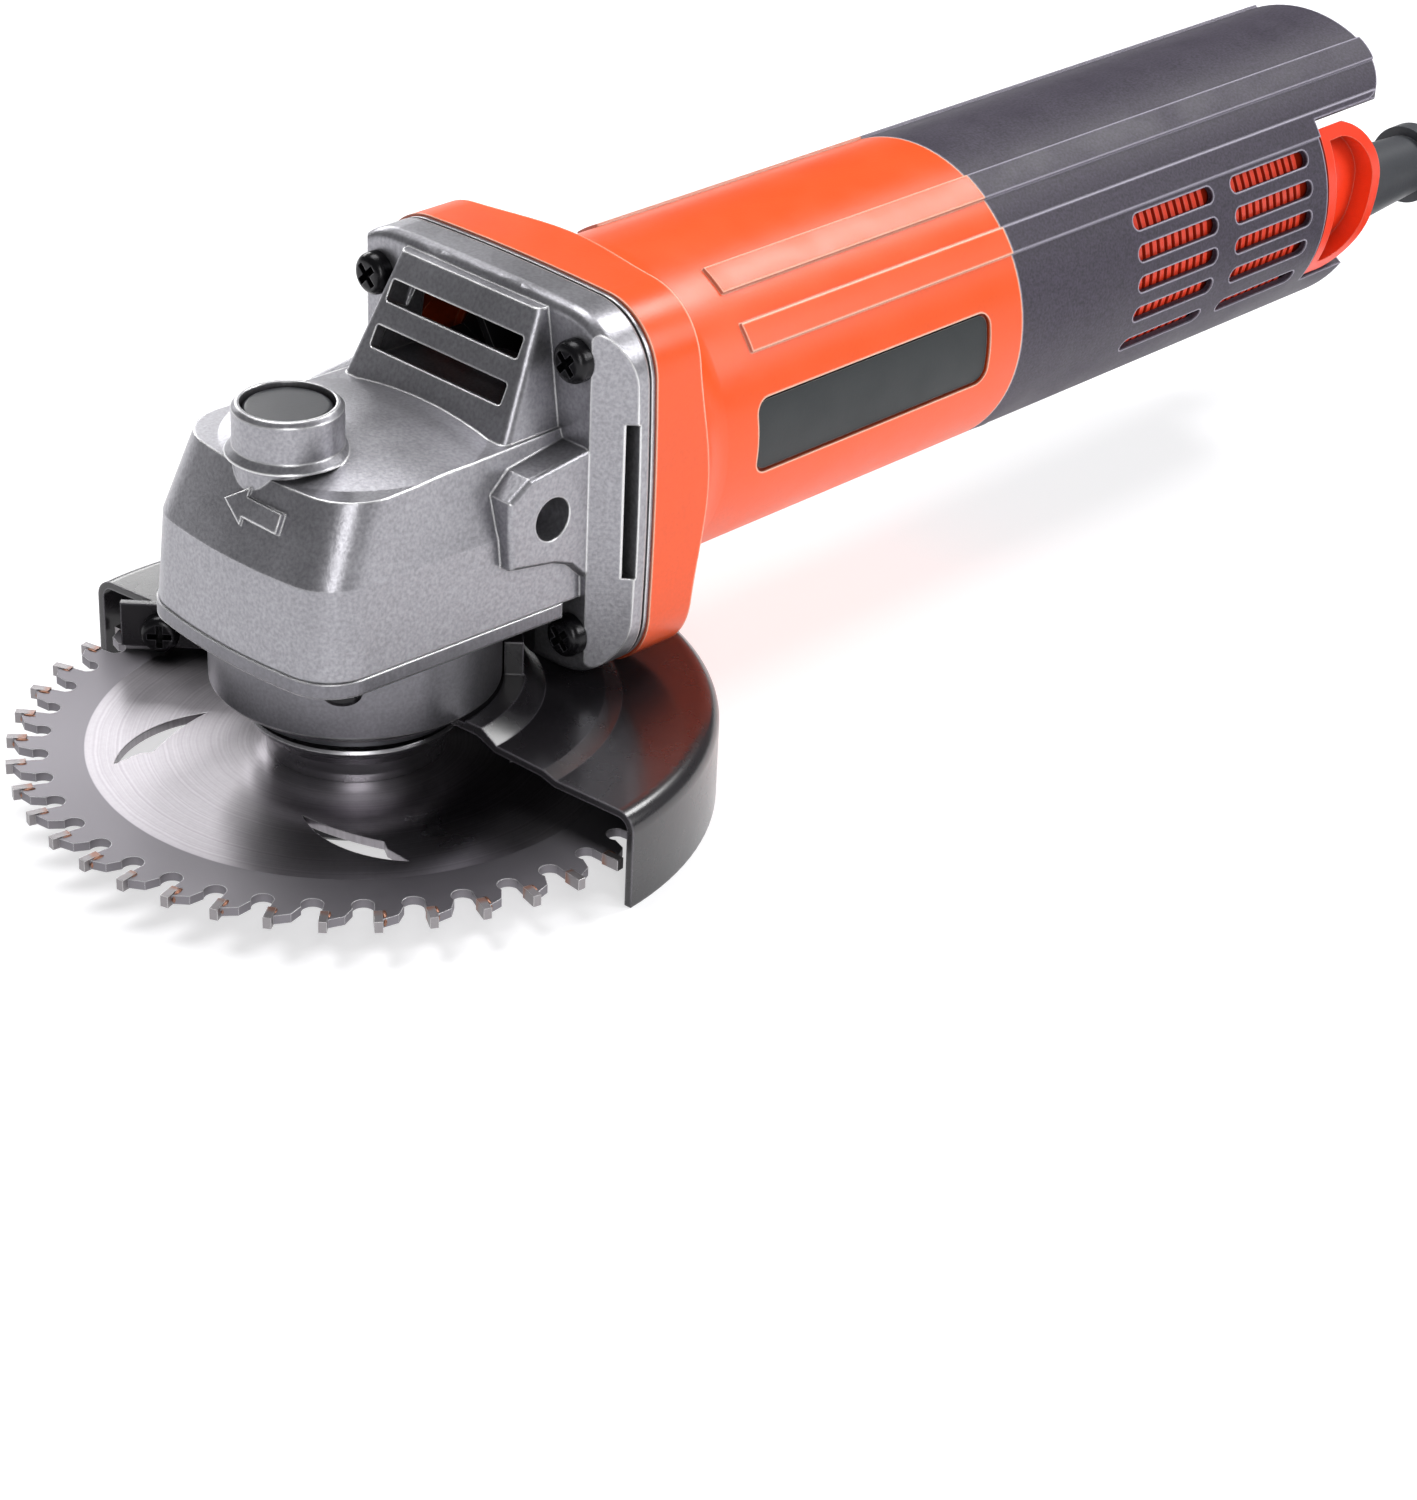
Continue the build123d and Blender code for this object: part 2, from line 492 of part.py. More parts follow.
# the collar stands up only where the neck is out of the blade's way
guard = guard - Rot(0, 0, guard_start - 5) * revolve(make_face(Polyline(
    (21.0, 0, seat_z + 11.6), (26.0, 0, seat_z + 11.6), (26.0, 0, seat_z + 18), (21.0, 0, seat_z + 18),
    close=True)), Axis.Z, 45)
web = Rot(0, 0, guard_start) * revolve(make_face(Polyline(
    (18.0, 0, seat_z + 10.0), (22.6, 0, seat_z + 10.0), (22.6, 0, seat_z + 11.2), (18.0, 0, seat_z + 11.2),
    close=True)), Axis.Z, fold_turn - guard_start)
guard = guard + web + (rod_z(19.2, seat_z + 10.0, seat_z + 11.2) - rod_z(14.3, 0, 90))
clamp_along, clamp_z = 33.2, seat_z + 4.0
clamp_place = Rot(0, 0, fold_turn) * Pos(fold_out, clamp_along, clamp_z) * Rot(0, -90, 0)
guard = guard - clamp_place * Cylinder(1.6, 8)
save("guard", guard)
save("guard_clamp_screw", clamp_place * pan_screw(3.1, 2.4, 1.5, 6.0))
nut_blank = Pos(0, 0, -sheet - 1.2) * extrude(RegularPolygon(2.9, 6, major_radius=False), 1.2, both=True)
nut_blank = nut_blank - Cylinder(1.52, 20)
save("guard_clamp_nut", clamp_place * nut_blank)
save("guard_retaining_ring", turned_z([
    (13.4, seat_z + 8.4), (17.5, seat_z + 8.4), (17.5, seat_z + 9.7), (14.0, seat_z + 9.7),
    (14.0, seat_z + 13.9), (13.4, seat_z + 13.9)]))


# ---------------------------------------------------------------- motor housing
def sector(x0, x1, r0, r1, a0, a1):
    """Shell piece round the motor axis, angles from straight up towards -Y."""
    face = make_face(Polyline((x0, 0, axis_z + r0), (x1, 0, axis_z + r0), (x1, 0, axis_z + r1),
                              (x0, 0, axis_z + r1), close=True))
    swept = revolve(face, Axis((0, 0, axis_z), (1, 0, 0)), a1 - a0)
    return Pos(0, 0, axis_z) * Rot(a0, 0, 0) * Pos(0, 0, -axis_z) * swept


def radial(angle, x):
    """Placement whose +Z points outwards from the motor axis at that angle."""
    return Pos(x, 0, axis_z) * Rot(angle, 0, 0)


strip_angles = [(26, 37), (49, 59)]
strip_height = 0.5


def strips(x0, x1):
    """Shallow lengthwise strips, the same on both sides."""
    found = []
    for a0, a1 in strip_angles:
        found.append(sector(x0, x1, barrel_r - 1.0, barrel_r + strip_height, a0, a1))
        found.append(sector(x0, x1, barrel_r - 1.0, barrel_r + strip_height, -a1, -a0))
    return found


bore_r = barrel_r - wall
skirt_x, blend_x = 41.0, 52.0
flare = make_face(Curve() + [
    Line((flange_x, 0, axis_z), (flange_x, 0, axis_z + 44)), Line((flange_x, 0, axis_z + 44), (skirt_x, 0, axis_z + 44)),
    Line((skirt_x, 0, axis_z + 44), (skirt_x, 0, axis_z + 38)),
    ThreePointArc((skirt_x, 0, axis_z + 38), (44.6, 0, axis_z + 29.0), (blend_x, 0, axis_z + barrel_r)),
    Line((blend_x, 0, axis_z + barrel_r), (blend_x, 0, axis_z)),
    Line((blend_x, 0, axis_z), (flange_x, 0, axis_z))])
flange_body = revolve(flare, Axis((0, 0, axis_z), (1, 0, 0)), 360)
flange_body = flange_body & extrude(squircle(flange_half + 0.3, flange_x), 30)
housing = flange_body + rod_x(barrel_r, blend_x - 1, border_x)
housing = housing + strips(60.0, border_x)
rear_wall_x, pocket_x1 = 116.5, 131.0
housing = housing - rod_x(25.0, flange_x - 1, skirt_x) - rod_x(bore_r, skirt_x - 1, rear_wall_x)
housing = housing - rod_x(bore_r, rear_wall_x + 2.5, border_x + 1)
for y, z in corner_points:
    housing = housing + rod_x(4.6, flange_x, skirt_x, y, z) - rod_x(2.05, flange_x - 1, 41.0, y, z)
rear_bearing_x0, rear_bearing_x1 = 124.0, 130.0
housing = housing + rod_x(12.0, rear_wall_x, pocket_x1) - rod_x(9.5, rear_bearing_x0 - 1.5, pocket_x1 + 1)
housing = housing - rod_x(7.5, rear_wall_x - 1, pocket_x1 + 1)
for angle in (45, 135, 225, 315):
    housing = housing - radial(angle, rear_wall_x + 1) * Pos(0, 0, 17.6) * Box(8, 9, 7)
rod_y0, rod_y1, rod_half = 21.0, 22.8, 3.0
housing = housing - block(rear_wall_x - 1, border_x - 1, rod_y0 - 0.4, bore_r, axis_z - 3.6, axis_z + 3.6)
# label recess on one side, slide switch recess on the other
label_x0, label_x1, label_low, label_high = 58.8, 113.2, axis_z - 5.7, axis_z + 6.7
label_mid = ((label_x0 + label_x1) / 2, 0, (label_low + label_high) / 2)
label_prism = Plane(origin=label_mid, x_dir=(1, 0, 0), z_dir=(0, -1, 0)) * RectangleRounded(
    label_x1 - label_x0, label_high - label_low, 2.5)
label_prism = extrude(label_prism, 40)
housing = housing - (label_prism & (rod_x(40, 50, 120) - rod_x(barrel_r - 0.9, 50, 120)))
knob_x0, knob_x1 = 78.0, 98.0
recess_y = barrel_r - 1.0
housing = housing - block(knob_x0 - switch_travel - 2, knob_x1 + 2, recess_y, 40, axis_z - 6.4, axis_z + 6.4)
stem_x0, stem_x1 = 84.0, 92.0
housing = housing - block(stem_x0 - switch_travel - 0.5, stem_x1 + 0.5, 20, 30, axis_z - 2.5, axis_z + 2.5)
save("motor_housing", housing)

label = extrude(Plane(origin=label_mid, x_dir=(1, 0, 0), z_dir=(0, -1, 0)) * RectangleRounded(
    label_x1 - label_x0 - 1.0, label_high - label_low - 1.0, 2.0), 40)
save("label_plate", label & tube_x(barrel_r - 0.4, barrel_r - 0.88, 50, 120))

# ---------------------------------------------------------------- armature and fan
front_seat_r, core_seat_r, rear_seat_r = 4.0, 5.0, 3.5
save("armature_shaft", rod_x(pinion_bore, 13.2, 22.2) + rod_x(front_seat_r - gap, 22.1, 30.0)
     + rod_x(core_seat_r, 30.2, 118.0) + rod_x(rear_seat_r - gap, 118.0, 130.5) + rod_x(4.6, 29.9, 30.3))
bearing_place = Pos(front_bearing_x, 0, axis_z) * Rot(0, 90, 0)
save("front_bearing", bearing_place * ball_bearing(front_seat_r, 11.0 - gap, front_bearing_w))
bearing_place = Pos(rear_bearing_x0, 0, axis_z) * Rot(0, 90, 0)
save("rear_bearing", bearing_place * ball_bearing(rear_seat_r, 9.5 - gap, 6.0))

fan_x0, fan_x1, fan_r, fan_vanes = 33.5, 41.5, 22.5, 11
fan = turned_x([(fan_x0, core_seat_r + 0.01), (fan_x0, 8.5), (fan_x1 - 2.0, 11.0), (fan_x1 - 1.6, fan_r),
                (fan_x1 - 0.2, fan_r), (fan_x1, core_seat_r + 0.01)])
vane = block(fan_x0 + 0.5, fan_x1 - 1.0, -0.7, 0.7, 9.0, fan_r)
for i in range(fan_vanes):
    fan = fan + Pos(0, 0, axis_z) * Rot(i * 360 / fan_vanes, 0, 0) * Pos(0, 0, 0) * vane
save("cooling_fan", fan)

core_x0, core_x1, core_r, core_slots = 53.0, 91.0, 14.6, 12
core = rod_x(core_r, core_x0, core_x1) - rod_x(core_seat_r + 0.01, 0, 200)
slot_cut = Pos((core_x0 + core_x1) / 2, 0, 0) * (Pos(0, 0, core_r) * Box(60, 1.6, 3.0)
                                                 + Pos(0, 0, core_r - 3.6) * Box(60, 3.4, 5.0))
for i in range(core_slots):
    core = core - Pos(0, 0, axis_z) * Rot(i * 360 / core_slots, 0, 0) * slot_cut
save("armature_core", core)
coil_r = core_seat_r + 0.02
front_turns = turned_x([(46.0, coil_r), (46.4, 10.0), (48.5, 12.6), (core_x0 - 0.02, 13.2), (core_x0 - 0.02, coil_r)])
rear_turns = turned_x([(core_x1 + 0.02, coil_r), (core_x1 + 0.02, 13.2), (95.5, 12.6), (99.0, 9.6), (100.0, coil_r)])
save("armature_windings", front_turns, rear_turns)
comm_x0, comm_x1, comm_r, comm_bars = 101.0, 113.0, 10.5, 24
commutator = rod_x(comm_r, comm_x0, comm_x1) + rod_x(comm_r + 1.4, comm_x0, comm_x0 + 1.6)
commutator = commutator - rod_x(core_seat_r + 0.01, 0, 200)
for i in range(comm_bars):
    groove = Pos(107, 0, comm_r) * Box(14, 0.4, 1.4)
    commutator = commutator - Pos(0, 0, axis_z) * Rot(i * 360 / comm_bars, 0, 0) * groove
save("commutator", commutator)

# ---------------------------------------------------------------- stator, brushes, baffle
flat_y = 20.4
flats = block(0, 200, -flat_y, flat_y, 0, 100)
stator_bore = 15.2
stator = tube_x(bore_r - 0.05, 19.6, core_x0 - 1, core_x1 + 1)
for a in (0, 180):
    stator = stator + sector(core_x0 - 1, core_x1 + 1, stator_bore, 20.0, a - 50, a + 50)
save("stator_core", stator & flats)
coils = []
for a in (0, 180):
    coil = sector(47.0, core_x0 - 1.02, 15.8, 21.5, a - 62, a + 62)
    coil = coil + sector(core_x1 + 1.02, 97.5, 15.8, 21.5, a - 62, a + 62)
    for lo, hi in ((-66, -51), (51, 66)):
        coil = coil + sector(47.0, 97.5, 15.8, 19.5, a + lo, a + hi)
    coils.append(coil & block(0, 200, -19.5, 19.5, 0, 100))
save("field_coils", *coils)
baffle = rod_x(bore_r - 0.05, 43.0, 44.6) - rod_x(16.5, 0, 100)
save("baffle_plate", baffle)

brush_x = 107.0
holders, brushes, brush_springs = [], [], []
for a in (0, 180):
    place = radial(a, brush_x)
    holder = place * (Pos(0, 0, 17.6) * Box(10, 12, 10.6) - Pos(0, 0, 16) * Box(7.1, 9.1, 20))
    holders.append(holder)
    brushes.append(place * Pos(0, 0, comm_r + 0.05 + 4.5) * Box(7.0, 9.0, 9.0))
    brush_springs.append(place * Pos(0, 0, 21.4) * (Cylinder(2.8, 3.6) - Cylinder(2.0, 4)))
save("brush_holders", *holders)
save("carbon_brushes", *brushes)
save("brush_springs", *brush_springs)

# ---------------------------------------------------------------- rear cover
cover_wall_x = 206.0
relief_z = axis_z - 13.7
relief_r = 7.2
cover = tube_x(barrel_r, bore_r, border_x, tail_x) + rod_x(bore_r + 1, cover_wall_x - 2.5, cover_wall_x)
cover = cover + strips(border_x, tail_x)
cover = cover + (rod_x(relief_r + 2.2, cover_wall_x - 1, 224.0, 0, relief_z) & rod_x(bore_r + 1, 200, 230))
# the tail is open at both sides, and its roof reaches further back than its bottom lip
for low, high in ((52, 122), (238, 308)):
    cover = cover - sector(cover_wall_x, tail_x + 5, bore_r - 1, barrel_r + 3, low, high)
cover = cover - sector(219.0, tail_x + 5, bore_r - 1, barrel_r + 3, 120, 240)
roof_plan = Pos(tail_x - 60, 0, 0) * extrude(RectangleRounded(120, 41.6, 9.0), 200)
cover = cover - (block(cover_wall_x + 5, tail_x + 5, -40, 40, axis_z, 200) - roof_plan)
cover = cover - rod_x(relief_r + 0.05, cover_wall_x - 8, 240, 0, relief_z)
pocket_x0, insert_r = 147.0, barrel_r - 1.25
slot_rows = [64.5, 76.5, 88.5, 101.0, 115.5]
slot_columns = [(152.0, 174.0), (179.0, 201.5)]
for side in (-1, 1):
    for a in slot_rows:
        for x0, x1 in slot_columns:
            cutter = Pos(0, 0, 22) * extrude(SlotOverall(x1 - x0, 2.9), 8)
            cover = cover - radial(-side * a, (x0 + x1) / 2) * cutter
    low, high = sorted((-side * 55, -side * 121.5))
    cover = cover - sector(pocket_x0, cover_wall_x + 1, bore_r - 1.6, insert_r + 0.05, low, high)
lip_screw_x = 127.0
for a in (150, 210):
    cover = cover - radial(a, lip_screw_x) * Pos(0, 0, 24) * Cylinder(1.6, 12)
    cover = cover - radial(a, lip_screw_x) * Pos(0, 0, barrel_r) * Cylinder(3.2, 3.0)
save("rear_cover", cover)
cover_screws = []
for a in (150, 210):
    cover_screws.append(radial(a, lip_screw_x) * Pos(0, 0, barrel_r - 1.5) * pan_screw(3.0, 1.5, 1.5, 6.0))
save("rear_cover_screws", *cover_screws)

# ---------------------------------------------------------------- vent inserts with their pulls
rib_pitch = 2.0
pull_rim, pull_depth = 2.3, 5.2
for side, name in ((-1, "vent_insert_near"), (1, "vent_insert_far")):
    low, high = sorted((-side * 55.8, -side * 120.8))
    insert = sector(pocket_x0 + 0.5, cover_wall_x + 2.0, insert_r - 1.7, insert_r - 0.8, low, high)
    for x0, x1 in slot_columns:
        for i in range(int((x1 - x0 - 1.0) / rib_pitch)):
            x = x0 + 1.4 + i * rib_pitch
            insert = insert + sector(x, x + 1.1, insert_r - 0.9, insert_r, low, high)
    # a rim bent like the letter D behind the cover's open side, as far out as the cover's skin
    outer = make_face(Curve() + [
        Line((cover_wall_x + 1.0, -13.0), (cover_wall_x + 1.0, 14.4)),
        Line((cover_wall_x + 1.0, 14.4), (cover_wall_x + 5.0, 14.4)),
        ThreePointArc((cover_wall_x + 5.0, 14.4), (cover_wall_x + 13.6, 11.2), (cover_wall_x + 16.6, 3.0)),
        Line((cover_wall_x + 16.6, 3.0), (cover_wall_x + 15.4, -5.0)),
        ThreePointArc((cover_wall_x + 15.4, -5.0), (cover_wall_x + 11.4, -11.0), (cover_wall_x + 4.0, -13.0)),
        Line((cover_wall_x + 4.0, -13.0), (cover_wall_x + 1.0, -13.0))])
    inner = offset(outer, -pull_rim)
    side_plane = Plane(origin=(0, 0, axis_z), x_dir=(1, 0, 0), z_dir=(0, -1, 0))
    pull = extrude(side_plane * outer, 30) - extrude(side_plane * inner, 30)
    pull = pull & tube_x(barrel_r - 0.4, barrel_r - pull_depth, 200, 240)
    pull = pull + (extrude(side_plane * offset(outer, -0.4), 30)
                   & tube_x(barrel_r - pull_depth + 1.0, barrel_r - pull_depth, 200, 240))
    if side > 0:
        pull = mirror(pull, Plane.XZ)
    keep = sector(pocket_x0, 240.0, 15.0, barrel_r + 1, low, high)
    save(name, (insert + pull) & keep)

# ---------------------------------------------------------------- switch, capacitor
knob = block(knob_x0, knob_x1, recess_y + 0.3, recess_y + 1.5, axis_z - 5.6, axis_z + 5.6)
knob = knob + block(knob_x0 + 3, knob_x1 - 2, recess_y + 1.0, barrel_r + 3.4, axis_z - 4.4, axis_z + 4.4)
knob = fillet(knob.edges().filter_by(Axis.Z).group_by(Axis.Y)[-1], 1.6)
for i in range(5):
    knob = knob - Pos(knob_x0 + 5.4 + i * 2.4, barrel_r + 3.5, axis_z) * Rot(0, 0, 45) * Box(1.0, 1.0, 12)
knob = knob + block(stem_x0, stem_x1, rod_y1, recess_y + 0.4, axis_z - 2.1, axis_z + 2.1)
save("switch_knob", knob)
switch_x0 = 152.0
rod = block(stem_x0, 140.0, rod_y0, rod_y1, axis_z - 2.6, axis_z + 2.6)
rod = rod + block(136.0, 143.0, 13.0, rod_y1, axis_z - 2.6, axis_z + 2.6)
save("switch_rod", rod)
switch_body = block(switch_x0, 184.0, 4.0, 18.0, axis_z - 8, axis_z + 8)
switch_body = fillet(switch_body.edges().filter_by(Axis.X), 1.0)
switch_body = switch_body + block(146.0, switch_x0 + 1, 8.0, 12.5, axis_z - 2, axis_z + 2)
save("switch_body", switch_body)
capacitor = fillet(block(156.0, 182.0, -17.0, -6.0, axis_z - 6.5, axis_z + 6.5).edges(), 0.8)
save("capacitor", capacitor)

# ---------------------------------------------------------------- cord entry
relief_end_x = 284.0
relief = rod_x(relief_r, cover_wall_x - 4, 250.0, 0, relief_z)
cone = Pos(267.0, 0, relief_z) * Rot(0, 90, 0) * Cone(relief_r, 4.9, 34.0)
relief = relief + cone + rod_x(7.6, 270.5, 274.0, 0, relief_z) + rod_x(9.0, 200.5, 203.4, 0, relief_z)
for x in (275.4, 278.2, 281.0):
    relief = relief - (rod_x(12, x, x + 1.1, 0, relief_z) - rod_x(4.6, 200, 290, 0, relief_z))
cord_r = 3.5
relief = relief - rod_x(cord_r, 190, 300, 0, relief_z)
save("strain_relief", relief)
clamp_y = 9.5
clamp = block(186.0, 194.0, -13.0, 13.0, relief_z + 3.0, relief_z + 6.0)
clamp = clamp - rod_x(cord_r + 0.3, 180, 200, 0, relief_z)
saddle = block(186.0, 194.0, -13.0, 13.0, -bore_r * 0.80 + axis_z, relief_z - 1.6)
saddle = saddle - rod_x(cord_r + 0.05, 180, 200, 0, relief_z)
for y in (-clamp_y, clamp_y):
    clamp = clamp - rod_z(1.6, 0, 100, 190, y)
    saddle = saddle - rod_z(1.6, 0, 100, 190, y)
saddle = saddle & rod_x(bore_r - 0.05, 180, 200)
save("cord_clamp", clamp, saddle)
save("cord_clamp_screws", *[Pos(190, y, relief_z + 6.0) * pan_screw(2.8, 2.0, 1.55, 8.5)
                            for y in (-clamp_y, clamp_y)])

save("cord_inside", rod_x(cord_r - 0.02, 184.0, relief_end_x, 0, relief_z))

# ---------------------------------------------------------------- power cord
cord_z = floor_z + cord_r         # centre of a cord that lies on the floor
coil_x, coil_y = 316.0, -62.0     # centre of the stored coil
coil_mid_r, coil_h = 42.0, 13.1
lead_route = [
    (relief_end_x, 0.0, relief_z), (298.0, 0.0, relief_z), (315.5, -0.6, 29.6), (332.5, -5.6, 20.6),
    (347.0, -15.4, 10.4), (358.6, -29.4, cord_z + 1.1), (366.4, -46.2, cord_z), (368.4, -64.0, cord_z),
]
tail_route = [
    (coil_x + 3.0, coil_y - 49.0, cord_z + 6.1), (303.5, -111.5, cord_z + 5.6),
    (289.0, -112.6, cord_z + 2.8), (276.0, -114.2, cord_z + 2.8),
]


def cord_tube(route):
    """Cord along straight runs joined by the largest tangent arcs that the runs allow."""
    points = [Vector(*p) for p in route]
    radii = []
    for before, here, after in zip(points, points[1:], points[2:]):
        into, out = here - before, after - here
        turn = math.radians(into.get_angle(out))
        radii.append(0.45 * min(into.length, out.length) / math.tan(turn / 2))
    path = FilletPolyline(*points, radius=radii)
    tube = sweep(Plane(origin=path @ 0, z_dir=path % 0) * Circle(cord_r), path=path)
    print("cord radii", [round(r, 1) for r in radii], "length", round(path.length, 1),
          "volume ratio", round(tube.volume / (math.pi * cord_r ** 2 * path.length), 4))
    return tube


save("power_cord", cord_tube(lead_route))
save("plug_lead", cord_tube(tail_route))

# seven turns: four on the floor and three in the hollows between them, tied with a strap
coil_section = make_face(Polyline(*[(coil_mid_r + x, 0, z) for x, z in (
    (-12.0, floor_z), (12.0, floor_z), (14.0, cord_z), (12.5, cord_z + cord_r), (9.0, floor_z + coil_h),
    (-9.0, floor_z + coil_h), (-12.5, cord_z + cord_r), (-14.0, cord_z))], close=True))
tie_in, tie_out = coil_mid_r - 14.6, coil_mid_r + 14.2
tie_place = Pos(coil_x, coil_y, 0) * Rot(0, 0, 160)
tie = block(tie_in - 0.8, tie_out + 0.8, -5, 5, floor_z, floor_z + coil_h + 0.9)
tie = fillet(tie.edges().filter_by(Axis.Y), 2.6)
tie_hollow = block(tie_in, tie_out, -6, 6, floor_z + 0.8, floor_z + coil_h + 0.1)
tie_hollow = fillet(tie_hollow.edges().filter_by(Axis.Y), 1.8)
tie = tie - tie_hollow
buckle = block(coil_mid_r - 4, coil_mid_r + 4, -6.2, 6.2, floor_z + coil_h + 0.9, floor_z + coil_h + 2.6)
save("cord_tie", tie_place * (tie + fillet(buckle.edges().group_by(Axis.Z)[-1], 0.8)))
coil = Pos(coil_x, coil_y, 0) * revolve(coil_section, Axis.Z, 360)
save("cord_coil", coil - tie_place * tie)

# two-pin plug lying beside the coil
plug_way = (Vector(*tail_route[-1]) - Vector(*tail_route[-2])).normalized()
plug_place = Plane(origin=tail_route[-1], x_dir=(plug_way.Y, -plug_way.X, 0), z_dir=plug_way)
plug = plug_place * Pos(0, 0, 6.5) * Cone(4.4, 5.8, 15.0)
grip_outlines = [(12.0, 13, 10.0), (24.0, 23, 12.0), (33.0, 25, 12.4)]
plug = plug + loft([plug_place * Pos(0, 0, z) * RectangleRounded(w, t, t * 0.42)
                    for z, w, t in grip_outlines], ruled=True)
plug_len = grip_outlines[-1][0]
plug_pins = []
for side in (-1, 1):
    pin = fillet(Cylinder(2.0, 19.0).edges().sort_by(Axis.Z)[-1], 1.2)
    plug_pins.append(plug_place * Pos(side * 9.3, 0, plug_len + 9.5) * pin)
save("plug_body", plug - plug_place * Cylinder(cord_r, 8.0))
save("plug_pins", *plug_pins)
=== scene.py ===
"""Looks of a corded angle grinder with a saw blade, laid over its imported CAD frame."""

import json  # noqa: E402
import logging  # noqa: E402
import math  # noqa: E402
from dataclasses import dataclass, field  # noqa: E402
from enum import Enum  # noqa: E402

import bmesh  # noqa: E402
import bpy  # noqa: E402
from mathutils import Matrix, Vector  # noqa: E402

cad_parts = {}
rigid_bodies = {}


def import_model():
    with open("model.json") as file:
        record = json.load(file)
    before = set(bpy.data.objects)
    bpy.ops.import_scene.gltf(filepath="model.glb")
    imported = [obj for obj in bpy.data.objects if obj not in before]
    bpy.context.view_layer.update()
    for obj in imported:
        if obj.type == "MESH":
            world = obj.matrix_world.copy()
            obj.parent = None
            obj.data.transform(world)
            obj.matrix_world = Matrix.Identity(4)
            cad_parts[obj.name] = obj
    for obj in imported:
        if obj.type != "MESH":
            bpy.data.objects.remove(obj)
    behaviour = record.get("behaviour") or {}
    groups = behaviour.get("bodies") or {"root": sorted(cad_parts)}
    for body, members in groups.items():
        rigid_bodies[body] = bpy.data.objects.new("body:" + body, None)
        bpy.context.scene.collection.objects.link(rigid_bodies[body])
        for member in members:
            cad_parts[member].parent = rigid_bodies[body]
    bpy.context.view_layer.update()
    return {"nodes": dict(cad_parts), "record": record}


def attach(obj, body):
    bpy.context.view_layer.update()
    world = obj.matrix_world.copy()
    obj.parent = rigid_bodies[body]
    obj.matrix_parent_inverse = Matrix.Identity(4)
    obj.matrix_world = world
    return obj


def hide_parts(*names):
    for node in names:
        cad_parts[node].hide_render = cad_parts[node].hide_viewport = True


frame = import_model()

MM = 0.001
AXIS_Z = 46.9       # height of the motor axis
FLOOR_Z = -0.5      # what the tool stands on
Tree, Socket = bpy.types.NodeTree, bpy.types.NodeSocket
log = logging.getLogger("angle_grinder")


# ---------------------------------------------------------------------------- small tools
def linear(code: str) -> tuple[float, float, float, float]:
    """Turn an sRGB hex colour into linear light.

    Args:
        code: colour such as "#F2602B".

    Returns:
        Linear red, green, blue and an alpha of one.
    """
    parts = [int(code[i:i + 2], 16) / 255 for i in (1, 3, 5)]
    r, g, b = (c / 12.92 if c <= 0.04045 else ((c + 0.055) / 1.055) ** 2.4 for c in parts)
    return (r, g, b, 1.0)


def add(tree: Tree, kind: str, wires: dict | None = None, **settings) -> bpy.types.Node:
    """Add one node with its settings and links.

    Args:
        tree: node tree that gets the node.
        kind: the node's type name.
        wires: input name or number to a value, or to the output that feeds it.
        **settings: attributes of the node itself.

    Returns:
        The new node.
    """
    made = tree.nodes.new(kind)
    for key, value in settings.items():
        setattr(made, key, value)
    for key, value in (wires or {}).items():
        if isinstance(value, Socket):
            tree.links.new(value, made.inputs[key])
        else:
            made.inputs[key].default_value = value
    return made


def new_piece(name: str, mesh: bpy.types.Mesh, finish: bpy.types.Material,
              smooth: float = 35.0) -> bpy.types.Object:
    """Make a piece from a finished mesh.

    Args:
        name: the piece's name.
        mesh: its mesh, already in place.
        finish: its material.
        smooth: angle in degrees under which edges shade smooth.

    Returns:
        The new object, at the origin.
    """
    mesh.name = name
    mesh.materials.clear()
    mesh.materials.append(finish)
    piece = bpy.data.objects.new(name, mesh)
    bpy.context.scene.collection.objects.link(piece)
    mesh.shade_smooth()
    mesh.set_sharp_from_angle(angle=math.radians(smooth))
    return piece


def mesh_of(bm: bmesh.types.BMesh, name: str) -> bpy.types.Mesh:
    """Turn an edit mesh into a mesh with its faces outwards.

    Args:
        bm: the edit mesh, which is freed.
        name: the new mesh's name.

    Returns:
        The mesh.
    """
    bmesh.ops.remove_doubles(bm, verts=bm.verts, dist=1e-7)
    bmesh.ops.recalc_face_normals(bm, faces=bm.faces)
    mesh = bpy.data.meshes.new(name)
    bm.to_mesh(mesh)
    bm.free()
    return mesh


# ---------------------------------------------------------------------------- finishes
def reach_from_spindle(tree: Tree, place: Socket) -> Socket:
    """Distance of a point from the upright spindle axis.

    Args:
        tree: the material's tree.
        place: object coordinates.

    Returns:
        The distance, in metres.
    """
    flat = add(tree, "ShaderNodeVectorMath", {0: place, 1: (1.0, 1.0, 0.0)}, operation="MULTIPLY")
    return add(tree, "ShaderNodeVectorMath", {0: flat.outputs[0]}, operation="LENGTH").outputs["Value"]


